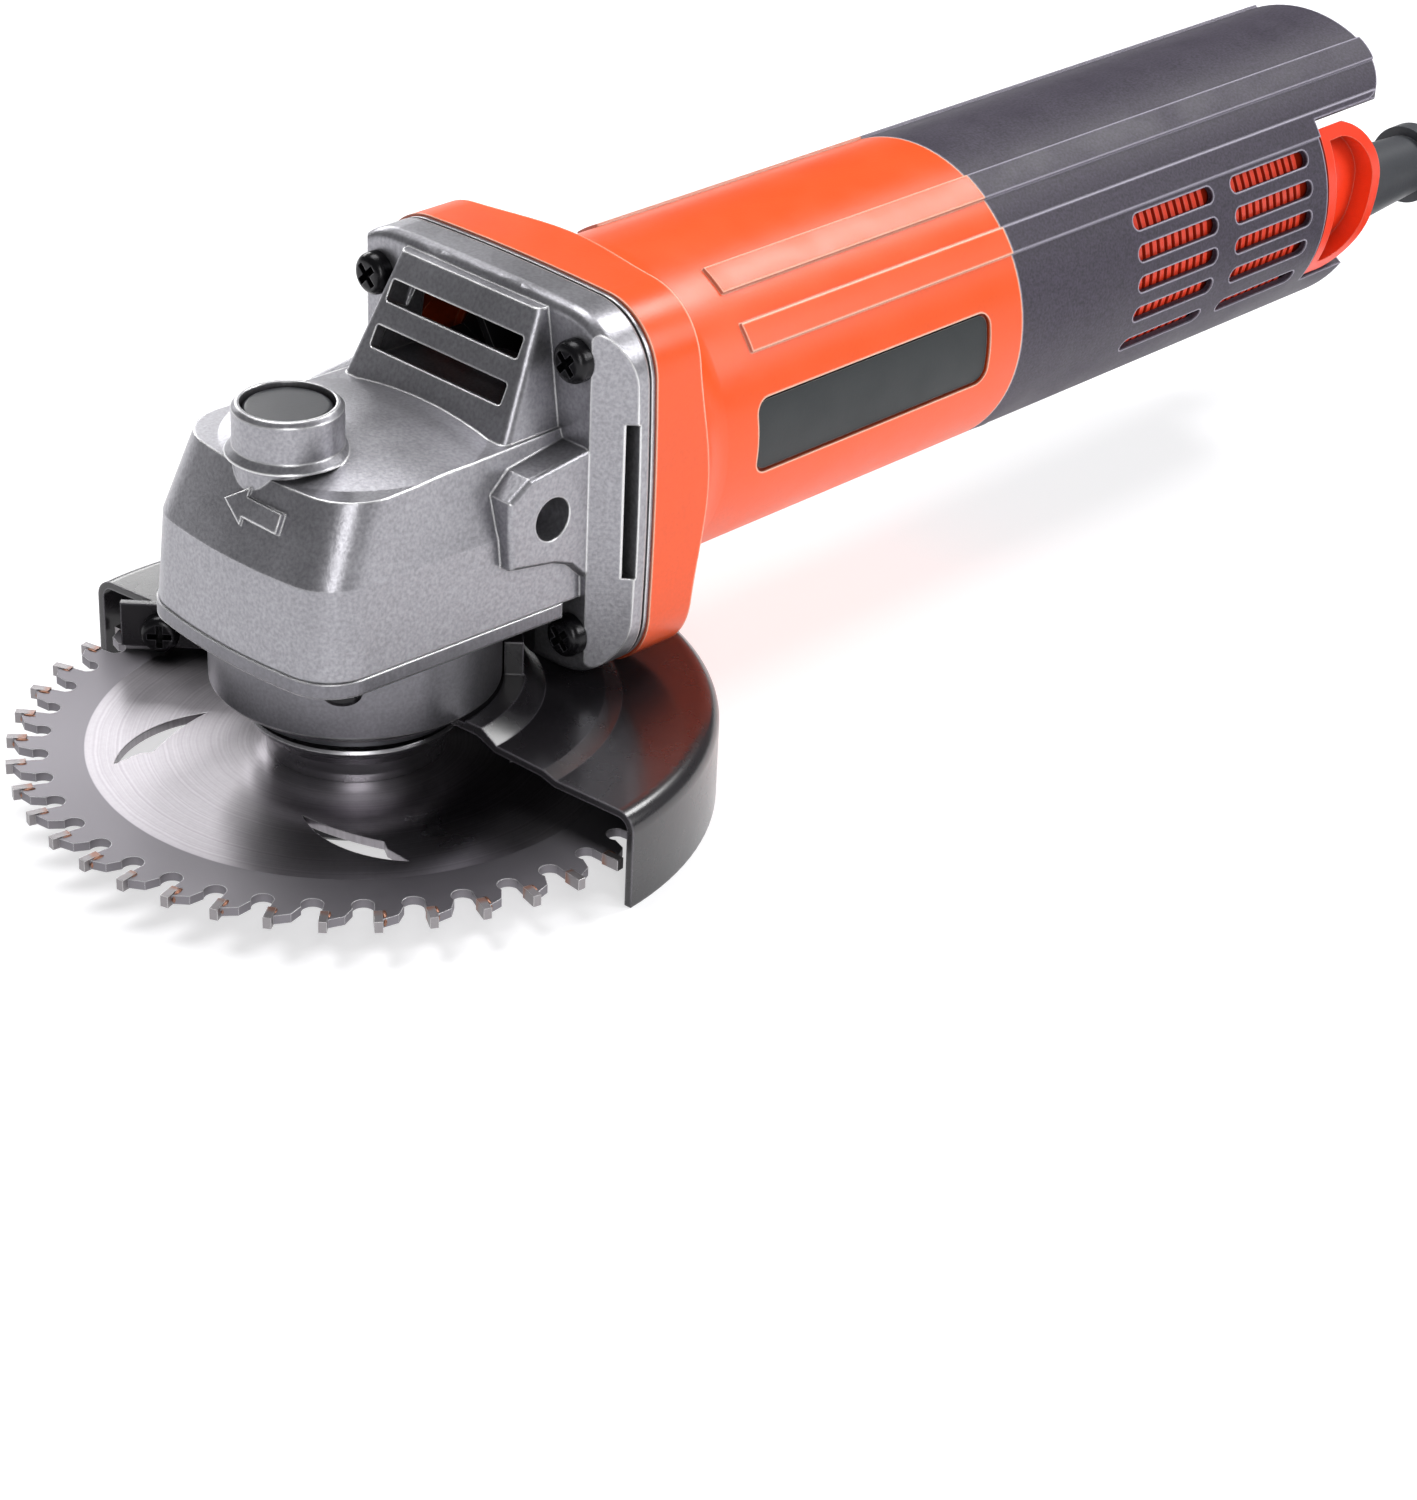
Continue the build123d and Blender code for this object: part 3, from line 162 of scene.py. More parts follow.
@dataclass(frozen=True)
class Finish:
    """A surface with fine grain, faint blotches, painted highlights along its edges and painted shade in its
    corners.

    All patterns are sized in millimetres on the row frame.
    """

    name: str
    colour: str
    roughness: float
    metallic: float = 0.0
    blotch: float = 0.05
    blotch_mm: float = 9.0
    grain_mm: float = 0.5
    grain_tone: float = 0.03
    grain_lift_mm: float = 0.012
    edge_mm: float = 0.35
    # painted edge highlight: how much of the light edge colour is mixed in along edges, and that colour
    edge_highlight_tone: float = 0.2
    edge_highlight_colour: str = "#FFFFFF"
    # painted shade in corners and recesses: how much darker, and how far the occlusion looks
    corner_shade: float = 0.35
    corner_shade_mm: float = 5.0
    coat: float = 0.0
    sheen: float = 0.0

    def pattern(self, tree: Tree, place: Socket, base: Socket,
                rough: Socket, lift: Socket) -> tuple:
        """Give a finish the chance to change colour, roughness and height before the painted edge highlights
        and corner shade are added.

        Args:
            tree: the material's tree.
            place: object coordinates.
            base: colour so far.
            rough: roughness so far.
            lift: height so far, zero to one.

        Returns:
            The three outputs, changed or not.
        """
        return base, rough, lift

    def build(self) -> bpy.types.Material:
        """Make the material.

        Returns:
            The material, named for the finish.
        """
        material = bpy.data.materials.new(self.name)
        material.use_nodes = True
        material.diffuse_color = linear(self.colour)
        tree = material.node_tree
        tree.nodes.clear()
        place = add(tree, "ShaderNodeTexCoord").outputs["Object"]
        blotch = add(tree, "ShaderNodeTexNoise", {
            "Vector": place, "Scale": 1 / (self.blotch_mm * MM), "Detail": 4.0})
        grain = add(tree, "ShaderNodeTexNoise", {
            "Vector": place, "Scale": 1 / (self.grain_mm * MM), "Detail": 2.0})
        tone = add(tree, "ShaderNodeMapRange", {
            "Value": blotch.outputs["Fac"], "From Min": 0.25, "From Max": 0.75,
            "To Min": 1 - self.blotch, "To Max": 1 + self.blotch})
        fine = add(tree, "ShaderNodeMapRange", {
            "Value": grain.outputs["Fac"], "From Min": 0.3, "From Max": 0.7,
            "To Min": 1 - self.grain_tone, "To Max": 1 + self.grain_tone})
        both = add(tree, "ShaderNodeMath", {0: tone.outputs["Result"], 1: fine.outputs["Result"]},
                   operation="MULTIPLY")
        base = add(tree, "ShaderNodeHueSaturation", {"Color": linear(self.colour), "Value": both.outputs[0]})
        rough = add(tree, "ShaderNodeMapRange", {
            "Value": blotch.outputs["Fac"], "From Min": 0.25, "From Max": 0.75,
            "To Min": self.roughness * 0.86, "To Max": self.roughness * 1.14})
        base, rough, lift = self.pattern(tree, place, base.outputs["Color"], rough.outputs["Result"],
                                         grain.outputs["Fac"])
        # painted edge highlight: where the rounded normal leaves the true one, the colour is mixed towards a
        # light edge colour
        rounded = add(tree, "ShaderNodeBevel", {"Radius": self.edge_mm * MM}, samples=6)
        flat = add(tree, "ShaderNodeNewGeometry")
        agree = add(tree, "ShaderNodeVectorMath", {0: rounded.outputs["Normal"], 1: flat.outputs["Normal"]},
                    operation="DOT_PRODUCT")
        edge = add(tree, "ShaderNodeMapRange", {
            "Value": agree.outputs["Value"], "From Min": 0.995, "From Max": 0.92,
            "To Min": 0.0, "To Max": 1.0})
        # painted shade: ambient occlusion finds corners and recesses, where the colour is darkened
        shade = add(tree, "ShaderNodeAmbientOcclusion", {"Distance": self.corner_shade_mm * MM}, samples=6)
        open_air = add(tree, "ShaderNodeMapRange", {
            "Value": shade.outputs["AO"], "From Min": 0.25, "From Max": 0.8})
        # the painted edge highlight fades where the painted corner shade falls
        bright = add(tree, "ShaderNodeMath", {0: edge.outputs["Result"], 1: open_air.outputs["Result"]},
                     operation="MULTIPLY")
        highlight_amount = add(tree, "ShaderNodeMath", {0: bright.outputs[0], 1: self.edge_highlight_tone}, operation="MULTIPLY")
        highlighted = add(tree, "ShaderNodeMix", {0: highlight_amount.outputs[0], 6: base, 7: linear(self.edge_highlight_colour)},
                    data_type="RGBA")
        # painted shade: the colour's value drops where the occlusion is strong
        shade_factor = add(tree, "ShaderNodeMapRange", {
            "Value": open_air.outputs["Result"], "To Min": 1 - self.corner_shade, "To Max": 1.0})
        shaded = add(tree, "ShaderNodeHueSaturation", {
            "Color": highlighted.outputs[2], "Value": shade_factor.outputs["Result"]})
        bump = add(tree, "ShaderNodeBump", {
            "Height": lift, "Distance": self.grain_lift_mm * MM, "Strength": 1.0,
            "Normal": rounded.outputs["Normal"]})
        shader = add(tree, "ShaderNodeBsdfPrincipled", {
            "Base Color": shaded.outputs["Color"], "Roughness": rough, "Metallic": self.metallic,
            "Normal": bump.outputs["Normal"], "Coat Weight": self.coat, "Coat Roughness": 0.15,
            "Sheen Weight": self.sheen})
        self.finish_shader(tree, shader)
        add(tree, "ShaderNodeOutputMaterial", {"Surface": shader.outputs["BSDF"]})
        return material

    def finish_shader(self, tree: Tree, shader: bpy.types.Node) -> None:
        """Give a finish the chance to set more of the shader; plain finishes leave it."""


@dataclass(frozen=True)
class TurnedSteel(Finish):
    """Steel turned or ground about the spindle: fine rings, and a highlight drawn across them."""

    ring_mm: float = 0.35
    ring_tone: float = 0.1
    waver_mm: float = 7.0
    drift_mm: float = 0.6
    draw: float = 0.6

    def rings(self, tree: Tree, place: Socket) -> tuple:
        """Fine rings about the spindle axis.

        Args:
            tree: the material's tree.
            place: object coordinates.

        Returns:
            Distance from the axis and the ring pattern.
        """
        reach = reach_from_spindle(tree, place)
        broken = add(tree, "ShaderNodeTexNoise", {
            "Vector": place, "Scale": 1 / (self.waver_mm * MM), "Detail": 1.0})
        drift = add(tree, "ShaderNodeMath", {0: broken.outputs["Fac"], 1: self.drift_mm * MM, 2: reach},
                    operation="MULTIPLY_ADD")
        ring = add(tree, "ShaderNodeTexNoise", {
            "W": drift.outputs[0], "Scale": 1 / (self.ring_mm * MM), "Detail": 3.0}, noise_dimensions="1D")
        return reach, ring.outputs["Fac"]

    def ringed(self, tree: Tree, base: Socket, ring: Socket) -> Socket:
        """Lighten and darken a colour along the rings.

        Args:
            tree: the material's tree.
            base: colour so far.
            ring: the ring pattern.

        Returns:
            The ringed colour.
        """
        tone = add(tree, "ShaderNodeMapRange", {
            "Value": ring, "From Min": 0.25, "From Max": 0.75,
            "To Min": 1 - self.ring_tone, "To Max": 1 + self.ring_tone})
        return add(tree, "ShaderNodeHueSaturation", {
            "Color": base, "Value": tone.outputs["Result"]}).outputs["Color"]

    def pattern(self, tree: Tree, place: Socket, base: Socket,
                rough: Socket, lift: Socket) -> tuple:
        """Draw the rings in tone and height."""
        _, ring = self.rings(tree, place)
        return self.ringed(tree, base, ring), rough, ring

    def finish_shader(self, tree: Tree, shader: bpy.types.Node) -> None:
        """Stretch the highlight across the rings."""
        shader.inputs["Anisotropic"].default_value = self.draw
        tangent = add(tree, "ShaderNodeTangent", direction_type="RADIAL", axis="Z")
        tree.links.new(tangent.outputs["Tangent"], shader.inputs["Tangent"])


@dataclass(frozen=True)
class SawPlate(TurnedSteel):
    """Saw blade steel: the middle ground bright, the tooth ring left darker and duller."""

    bright_to_mm: float = 40.8
    dull_colour: str = "#838085"
    dull_roughness: float = 0.5

    def pattern(self, tree: Tree, place: Socket, base: Socket,
                rough: Socket, lift: Socket) -> tuple:
        """Split the plate at the edge of its ground middle."""
        reach, ring = self.rings(tree, place)
        outer = add(tree, "ShaderNodeMapRange", {
            "Value": reach, "From Min": (self.bright_to_mm - 0.1) * MM,
            "From Max": (self.bright_to_mm + 0.1) * MM}).outputs["Result"]
        base = self.ringed(tree, base, ring)
        base = add(tree, "ShaderNodeMix", {0: outer, 6: base, 7: linear(self.dull_colour)},
                   data_type="RGBA").outputs[2]
        rough = add(tree, "ShaderNodeMix", {0: outer, 2: rough, 3: self.dull_roughness}).outputs[0]
        return base, rough, ring


@dataclass(frozen=True)
class BrazedTip(Finish):
    """Carbide tip: grey ground carbide with the copper braze showing low on the tip."""

    braze: str = "#937064"
    braze_to_mm: float = 51.2
    blend_mm: float = 1.0
    ragged_mm: float = 3.0

    def pattern(self, tree: Tree, place: Socket, base: Socket,
                rough: Socket, lift: Socket) -> tuple:
        """Run the braze up the foot of each tip, a little further on some than on others."""
        reach = reach_from_spindle(tree, place)
        ragged = add(tree, "ShaderNodeTexNoise", {"Vector": place, "Scale": 1 / (2.5 * MM), "Detail": 2.0})
        shifted = add(tree, "ShaderNodeMath", {0: ragged.outputs["Fac"], 1: self.ragged_mm * MM, 2: reach},
                      operation="MULTIPLY_ADD")
        bare = add(tree, "ShaderNodeMapRange", {
            "Value": shifted.outputs[0], "From Min": self.braze_to_mm * MM,
            "From Max": (self.braze_to_mm + self.blend_mm) * MM}).outputs["Result"]
        base = add(tree, "ShaderNodeMix", {0: bare, 6: linear(self.braze), 7: base},
                   data_type="RGBA").outputs[2]
        return base, rough, lift


# Each entry is a real surface; the comment says what it gives the eye. Each finish also paints a highlight
# along its edges and shade into its corners and recesses.
FINISHES: dict[str, Finish] = {
    # blasted aluminium casting: pale grey, soft sheen, visible fine grit, edges painted bright as highlights,
    # strong painted shade in corners
    "cast_aluminium": Finish("blasted_aluminium_casting", "#9B9A9F", 0.34, metallic=0.85, blotch=0.07,
                             grain_mm=0.55, grain_tone=0.16, grain_lift_mm=0.025, edge_mm=0.5, edge_highlight_tone=1.0,
                             corner_shade=0.6),
    # glass-filled nylon moulding: strong orange, semi-matt, faint texture, edges painted pale cream as
    # highlights, deep painted shade in recesses
    "orange_plastic": Finish("orange_nylon_moulding", "#EC5210", 0.36, blotch=0.04, grain_mm=0.5,
                             grain_tone=0.04, grain_lift_mm=0.012, edge_mm=0.6, edge_highlight_tone=1.0,
                             edge_highlight_colour="#FFDCC2", corner_shade=0.8, corner_shade_mm=14.0),
    # spark-eroded nylon moulding: violet-grey with a fine pale speckle, edges painted pale violet as
    # highlights
    "cover_plastic": Finish("violet_grey_nylon_moulding", "#352F3D", 0.52, blotch=0.07, grain_mm=0.45,
                            grain_tone=0.45, grain_lift_mm=0.03, edge_mm=0.6, edge_highlight_tone=1.0,
                            edge_highlight_colour="#B9B4C4", corner_shade=0.3),
    # smooth polypropylene moulding: bright red-orange
    "insert_plastic": Finish("red_orange_polypropylene", "#EE3A16", 0.34, grain_mm=0.7, grain_tone=0.02,
                             edge_mm=0.3, edge_highlight_tone=0.35, edge_highlight_colour="#FF8A6A", corner_shade=0.55),
    # satin black enamel on pressed sheet: dark, glossy enough to carry reflections
    "guard_paint": Finish("satin_black_enamel", "#201E21", 0.27, blotch=0.08, grain_mm=0.8, grain_tone=0.05,
                          grain_lift_mm=0.01, edge_mm=0.5, edge_highlight_tone=0.3, edge_highlight_colour="#A7A2AC", corner_shade=0.2,
                          coat=0.3),
    # hot black oxide on steel: near black, oily sheen, corners painted grey, partly as rubbed wear and partly
    # as highlight
    "black_oxide": TurnedSteel("black_oxide_steel", "#2A292C", 0.34, metallic=0.6, grain_mm=0.5, edge_mm=0.3,
                               edge_highlight_tone=0.35, edge_highlight_colour="#8D8B90", ring_tone=0.18, draw=0.3),
    # the same oxide on screw heads: blacker, with painted shade in the recesses
    "black_screws": Finish("black_oxide_screw_steel", "#141316", 0.26, metallic=0.5, grain_mm=0.6,
                           edge_mm=0.25, edge_highlight_tone=0.3, edge_highlight_colour="#8A888E", corner_shade=0.5),
    # saw steel: ground bright in the middle, with rings and a fan-shaped highlight
    "blade_steel": SawPlate("ground_saw_steel", "#A7A3A8", 0.3, metallic=1.0, blotch=0.08, blotch_mm=14.0,
                            grain_mm=0.6, grain_lift_mm=0.006, edge_mm=0.2, edge_highlight_tone=0.45, corner_shade=0.25,
                            ring_mm=0.4, ring_tone=0.12, draw=0.7),
    # sintered carbide brazed with copper alloy
    "carbide": BrazedTip("brazed_carbide", "#8E8A8C", 0.36, metallic=0.8, grain_mm=0.4, edge_mm=0.15,
                         edge_highlight_tone=0.5),
    # machined bearing box: darker than the casting above it, drawn round
    "machined_box": TurnedSteel("machined_grey_casting", "#77767B", 0.32, metallic=0.9, grain_tone=0.12,
                                edge_mm=0.5, edge_highlight_tone=0.8, ring_tone=0.08, draw=0.5),
    # turned steel flange: bright, ringed
    "bright_flange": TurnedSteel("turned_bright_steel", "#B9B7BB", 0.26, metallic=1.0, edge_mm=0.3,
                                 edge_highlight_tone=0.5, ring_tone=0.1, draw=0.6),
    # ground shaft steel: cool grey, faint rings
    "plain_steel": TurnedSteel("ground_shaft_steel", "#9C9CA0", 0.3, metallic=1.0, ring_tone=0.05, draw=0.4),
    # case-hardened gear steel: darker, a little dull from heat treatment
    "gear_steel": Finish("case_hardened_gear_steel", "#6E6C6C", 0.38, metallic=0.9, edge_mm=0.15),
    # polished bearing rings: sharp reflections
    "bearing_steel": Finish("polished_bearing_steel", "#A8AAAE", 0.2, metallic=1.0, edge_mm=0.2),
    # oiled spring wire: dark with a thin bright line
    "spring_steel": Finish("oiled_spring_steel", "#5E5F63", 0.3, metallic=0.9, edge_mm=0.1),
    # clear zinc plate: pale, slightly blue-grey
    "zinc_screws": Finish("zinc_plated_steel", "#B4B6B6", 0.3, metallic=0.95, edge_mm=0.15, edge_highlight_tone=0.3),
    # stacked electrical sheet: dull brown-grey
    "core_steel": Finish("stacked_core_steel", "#5C5A58", 0.45, metallic=0.8),
    # enamelled winding wire: deep copper with uneven strands
    "copper": Finish("enamelled_copper_wire", "#A85A30", 0.32, metallic=0.8, grain_mm=0.7, grain_tone=0.15),
    # bare brass, and the pins' nickel plate over it
    "brass": Finish("plain_brass", "#BE9C55", 0.3, metallic=1.0),
    "brass_plated": Finish("nickel_plated_brass", "#C9C8C3", 0.18, metallic=1.0, edge_mm=0.2),
    # pressed carbon: matt black
    "carbon": Finish("pressed_carbon", "#2C2B2A", 0.6),
    # smooth ABS cap and slide knob: dark, satin
    "button_plastic": Finish("charcoal_abs", "#2E2F33", 0.36, grain_mm=0.6, edge_mm=0.3, edge_highlight_tone=0.35,
                             edge_highlight_colour="#9A9CA2"),
    # printed polycarbonate film, left blank: flat slate grey
    "label_film": Finish("blank_polycarbonate_film", "#1C2224", 0.5, blotch=0.02, grain_tone=0.02,
                         edge_mm=0.15, edge_highlight_tone=0.2, corner_shade=0.1),
    # unfilled black nylon: plain satin black
    "fan_plastic": Finish("black_nylon", "#1F1F21", 0.45, edge_mm=0.2),
    # dipped epoxy coat of a capacitor: mustard, glossy
    "capacitor_film": Finish("dipped_film_capacitor", "#C0A23C", 0.3),
    # vulcanised rubber: blue-black, soft sheen
    "cord_rubber": Finish("blue_black_rubber", "#2A2D33", 0.5, blotch=0.05, grain_mm=0.7, grain_tone=0.08,
                          grain_lift_mm=0.02, edge_mm=0.3, edge_highlight_tone=0.2, edge_highlight_colour="#8A8F99", sheen=0.1),
    # moulded plug and strain relief: soft black, faint grain
    "plug_rubber": Finish("moulded_pvc_plug", "#212327", 0.46, grain_mm=0.6, grain_lift_mm=0.02, edge_mm=0.4,
                          edge_highlight_tone=0.2, edge_highlight_colour="#8A8F99"),
    # woven hook-and-loop strap
    "tie_strap": Finish("woven_nylon_strap", "#1E1F22", 0.8, grain_mm=0.9, grain_tone=0.3, grain_lift_mm=0.12,
                        sheen=0.4),
}


class Wardrobe:
    """Builds each finish once and dresses the CAD nodes by their record slots."""

    def __init__(self, record: dict) -> None:
        """Build every finish the record names.

        Args:
            record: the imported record, with its sub-parts and their slots.
        """
        self.slots: dict[str, str] = {part["node"]: part["material_slot"] for part in record["subparts"]}
        self.slots |= {"bearing_box": "machined_box", "bearing_box_screws": "black_screws"}
        self.made: dict[str, bpy.types.Material] = {slot: finish.build() for slot, finish in FINISHES.items()}

    def dress(self, nodes: dict[str, bpy.types.Object]) -> None:
        """Put each CAD node's finish on it.

        Args:
            nodes: CAD nodes by name.
        """
        for name, node in nodes.items():
            node.data.materials.clear()
            node.data.materials.append(self.made[self.slots[name]])


# ---------------------------------------------------------------------------- viewpoint and studio
@dataclass(frozen=True)
class Viewpoint:
    """Three-quarter view from the nose, looking down on the blade side."""

    target_mm: tuple[float, float, float] = (78.7, 0.0, -25.92)
    distance_mm: float = 612.3
    azimuth: float = -47.1
    elevation: float = 29.81
    roll: float = 2.71
    lens: float = 86.23

    def place(self) -> bpy.types.Object:
        """Make the camera.

        Returns:
            The scene's camera.
        """
        a, e, r = (math.radians(x) for x in (self.azimuth, self.elevation, self.roll))
        back = Vector((math.sin(a) * math.cos(e), -math.cos(a) * math.cos(e), math.sin(e)))
        right = Vector((math.cos(a), math.sin(a), 0.0))
        up = back.cross(right)
        right, up = (math.cos(r) * right + math.sin(r) * up, math.cos(r) * up - math.sin(r) * right)
        data = bpy.data.cameras.new("three_quarter")
        data.lens, data.sensor_width = self.lens, 36.0
        data.clip_start, data.clip_end = 0.02, 20.0
        camera = bpy.data.objects.new("three_quarter", data)
        bpy.context.scene.collection.objects.link(camera)
        spot = Vector(self.target_mm) * MM + back * self.distance_mm * MM
        camera.matrix_world = Matrix.Translation(spot) @ Matrix((right, up, back)).transposed().to_4x4()
        bpy.context.scene.camera = camera
        return camera


@dataclass(frozen=True)
class SoftLight:
    """A rectangular soft box aimed at the tool."""

    name: str
    spot: tuple[float, float, float]
    size: tuple[float, float]
    power: float
    colour: str = "#FFFFFF"
    aim: tuple[float, float, float] = (0.08, 0.0, 0.03)


@dataclass
class Studio:
    """Plain pale floor with soft boxes over it."""

    floor_half: float = 6.0
    ambient: float = 0.16
    floor_glow: float = 0.56
    boxes: list[SoftLight] = field(default_factory=lambda: [
        SoftLight("overhead_box", (0.15, 0.45, 1.25), (1.0, 0.6), 11.5),
        SoftLight("front_box", (-0.75, -0.95, 0.55), (0.3, 0.9), 6.0),
        SoftLight("side_box", (0.75, -1.0, 0.7), (0.45, 0.5), 7.0),
        SoftLight("tail_box", (1.05, -0.15, 1.15), (0.4, 0.4), 9.0, aim=(0.0, -0.02, 0.01)),
        SoftLight("back_rim", (0.35, 1.05, 0.45), (0.8, 0.3), 5.0),
    ])

    def build(self) -> None:
        """Lay the floor, hang the lights and set the room's even light."""
        bm = bmesh.new()
        bmesh.ops.create_grid(bm, x_segments=1, y_segments=1, size=self.floor_half)
        bmesh.ops.translate(bm, verts=bm.verts, vec=(0, 0, (FLOOR_Z - 0.05) * MM))
        pale = bpy.data.materials.new("pale_painted_floor")
        pale.use_nodes = True
        shader = pale.node_tree.nodes["Principled BSDF"]
        shader.inputs["Base Color"].default_value = linear("#C8C8CA")
        shader.inputs["Roughness"].default_value = 0.7
        shader.inputs["Emission Color"].default_value = linear("#FFFFFF")
        shader.inputs["Emission Strength"].default_value = self.floor_glow
        new_piece("studio_floor", mesh_of(bm, "studio_floor"), pale)
        for box in self.boxes:
            data = bpy.data.lights.new(box.name, "AREA")
            data.shape, data.size, data.size_y = "RECTANGLE", box.size[0], box.size[1]
            data.energy, data.color = box.power, linear(box.colour)[:3]
            lamp = bpy.data.objects.new(box.name, data)
            bpy.context.scene.collection.objects.link(lamp)
            lamp.location = box.spot
            lamp.rotation_euler = (Vector(box.aim) - Vector(box.spot)).to_track_quat("-Z", "Y").to_euler()
        world = bpy.data.worlds.new("even_room_light")
        world.use_nodes = True
        backdrop = world.node_tree.nodes["Background"]
        backdrop.inputs["Color"].default_value = linear("#F2F3F6")
        backdrop.inputs["Strength"].default_value = self.ambient
        bpy.context.scene.world = world
        bpy.context.scene.view_settings.view_transform = "Standard"


# ---------------------------------------------------------------------------- repeats
class RoundRepeat:
    """Repeats a small mesh about an upright axis with a node tree of its own."""

    def __init__(self, name: str) -> None:
        """Build the node tree.

        Args:
            name: the tree's name.
        """
        tree = bpy.data.node_groups.new(name, "GeometryNodeTree")
        sockets = tree.interface
        sockets.new_socket("Geometry", in_out="OUTPUT", socket_type="NodeSocketGeometry")
        self.ids: dict[str, str] = {}
        for label, kind in (("Count", "NodeSocketInt"), ("Radius", "NodeSocketFloat"),
                            ("Height", "NodeSocketFloat"), ("Start angle", "NodeSocketFloat"),
                            ("Size spread", "NodeSocketFloat"),
                            ("Piece", "NodeSocketObject"), ("Finish", "NodeSocketMaterial")):
            self.ids[label] = sockets.new_socket(label, in_out="INPUT", socket_type=kind).identifier
        given = add(tree, "NodeGroupInput").outputs
        points = add(tree, "GeometryNodePoints", {"Count": given["Count"]})
        index = add(tree, "GeometryNodeInputIndex")
        step = add(tree, "ShaderNodeMath", {0: math.tau, 1: given["Count"]}, operation="DIVIDE")
        angle = add(tree, "ShaderNodeMath", {
            0: index.outputs[0], 1: step.outputs[0], 2: given["Start angle"]}, operation="MULTIPLY_ADD")
        cos = add(tree, "ShaderNodeMath", {0: angle.outputs[0]}, operation="COSINE")
        sin = add(tree, "ShaderNodeMath", {0: angle.outputs[0]}, operation="SINE")
        x = add(tree, "ShaderNodeMath", {0: cos.outputs[0], 1: given["Radius"]}, operation="MULTIPLY")
        y = add(tree, "ShaderNodeMath", {0: sin.outputs[0], 1: given["Radius"]}, operation="MULTIPLY")
        spot = add(tree, "ShaderNodeCombineXYZ", {"X": x.outputs[0], "Y": y.outputs[0], "Z": given["Height"]})
        placed = add(tree, "GeometryNodeSetPosition", {
            "Geometry": points.outputs[0], "Position": spot.outputs[0]})
        turn = add(tree, "ShaderNodeCombineXYZ", {"Z": angle.outputs[0]})
        low = add(tree, "ShaderNodeMath", {0: 1.0, 1: given["Size spread"]}, operation="SUBTRACT")
        high = add(tree, "ShaderNodeMath", {0: 1.0, 1: given["Size spread"]}, operation="ADD")
        spread = add(tree, "FunctionNodeRandomValue", {
            "Min": low.outputs[0], "Max": high.outputs[0], "Seed": 7})
        piece = add(tree, "GeometryNodeObjectInfo", {"Object": given["Piece"]})
        copies = add(tree, "GeometryNodeInstanceOnPoints", {
            "Points": placed.outputs["Geometry"], "Instance": piece.outputs["Geometry"],
            "Rotation": turn.outputs[0], "Scale": spread.outputs[1]})
        real = add(tree, "GeometryNodeRealizeInstances", {"Geometry": copies.outputs[0]})
        coated = add(tree, "GeometryNodeSetMaterial", {
            "Geometry": real.outputs[0], "Material": given["Finish"]})
        add(tree, "NodeGroupOutput", {"Geometry": coated.outputs[0]})
        self.tree = tree

    def make(self, name: str, part: bpy.types.Mesh, finish: bpy.types.Material,
             sizes: dict[str, float | int]) -> bpy.types.Object:
        """Repeat one small mesh.

        Args:
            name: the new piece's name.
            part: the small mesh, its own origin at the repeated point.
            finish: the material of every copy.
            sizes: values of the tree's named inputs.

        Returns:
            The repeated piece as one plain mesh.
        """
        pattern = bpy.data.objects.new(f"{name}_pattern", part)
        bpy.context.scene.collection.objects.link(pattern)
        holder = bpy.data.objects.new(f"{name}_holder", bpy.data.meshes.new(f"{name}_holder"))
        bpy.context.scene.collection.objects.link(holder)
        modifier = holder.modifiers.new("repeat", "NODES")
        modifier.node_group = self.tree
        for label, value in {**sizes, "Piece": pattern, "Finish": finish}.items():
            modifier[self.ids[label]] = value
        bpy.context.view_layer.update()
        seen = holder.evaluated_get(bpy.context.evaluated_depsgraph_get())
        mesh = bpy.data.meshes.new_from_object(seen)
        for helper in (holder, pattern):
            bpy.data.objects.remove(helper)
        return new_piece(name, mesh, finish, smooth=60.0)


def ellipsoid(size_mm: tuple[float, float, float], shift_mm: tuple[float, float, float],
              rings: int = 6, sides: int = 10) -> bpy.types.Mesh:
    """Make a small closed ellipsoid.

    Args:
        size_mm: full sizes along x, y and z.
        shift_mm: its centre from the mesh's origin.
        rings: faces from pole to pole.
        sides: faces round it.

    Returns:
        The mesh, in metres.
    """
    bm = bmesh.new()
    bmesh.ops.create_uvsphere(bm, u_segments=sides, v_segments=rings, radius=0.5)
    bmesh.ops.scale(bm, verts=bm.verts, vec=Vector(size_mm) * MM)
    bmesh.ops.translate(bm, verts=bm.verts, vec=Vector(shift_mm) * MM)
    return mesh_of(bm, "bead")


# ---------------------------------------------------------------------------- saw blade
@dataclass
class SawBlade:
    """What the toothed blade shows beyond its CAD plate: beads of braze at every tip."""

    teeth: int = 42
    phase_deg: float = 0.5
    bead_radius: float = 50.1
    plate_mid_z: float = 5.7
    bead_size: tuple[float, float, float] = (2.9, 0.95, 1.8)

    def build(self, repeat: RoundRepeat) -> list[bpy.types.Object]:
        """Bead every tip.

        Args:
            repeat: the round repeat tree.

        Returns:
            The pieces made.
        """
        # copper alloy braze run by hand: dull copper brown, slightly lumpy
        braze = Finish("copper_alloy_braze", "#8E6654", 0.38, metallic=0.85, grain_mm=0.5, grain_tone=0.2,
                       grain_lift_mm=0.03, edge_mm=0.1, edge_highlight_tone=0.2).build()
        bead = ellipsoid(self.bead_size, (0.0, 1.3, 0.0))
        piece = repeat.make("tip_braze", bead, braze, {
            "Count": self.teeth, "Radius": self.bead_radius * MM, "Height": self.plate_mid_z * MM,
            "Start angle": math.radians(self.phase_deg), "Size spread": 0.12})
        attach(piece, "spindle")
        return [piece]


# ---------------------------------------------------------------------------- power cord
class CordLay(Enum):
    """How the turns of the stored coil lie."""

    FLOOR_LAYER = 0
    UPPER_LAYER = 1


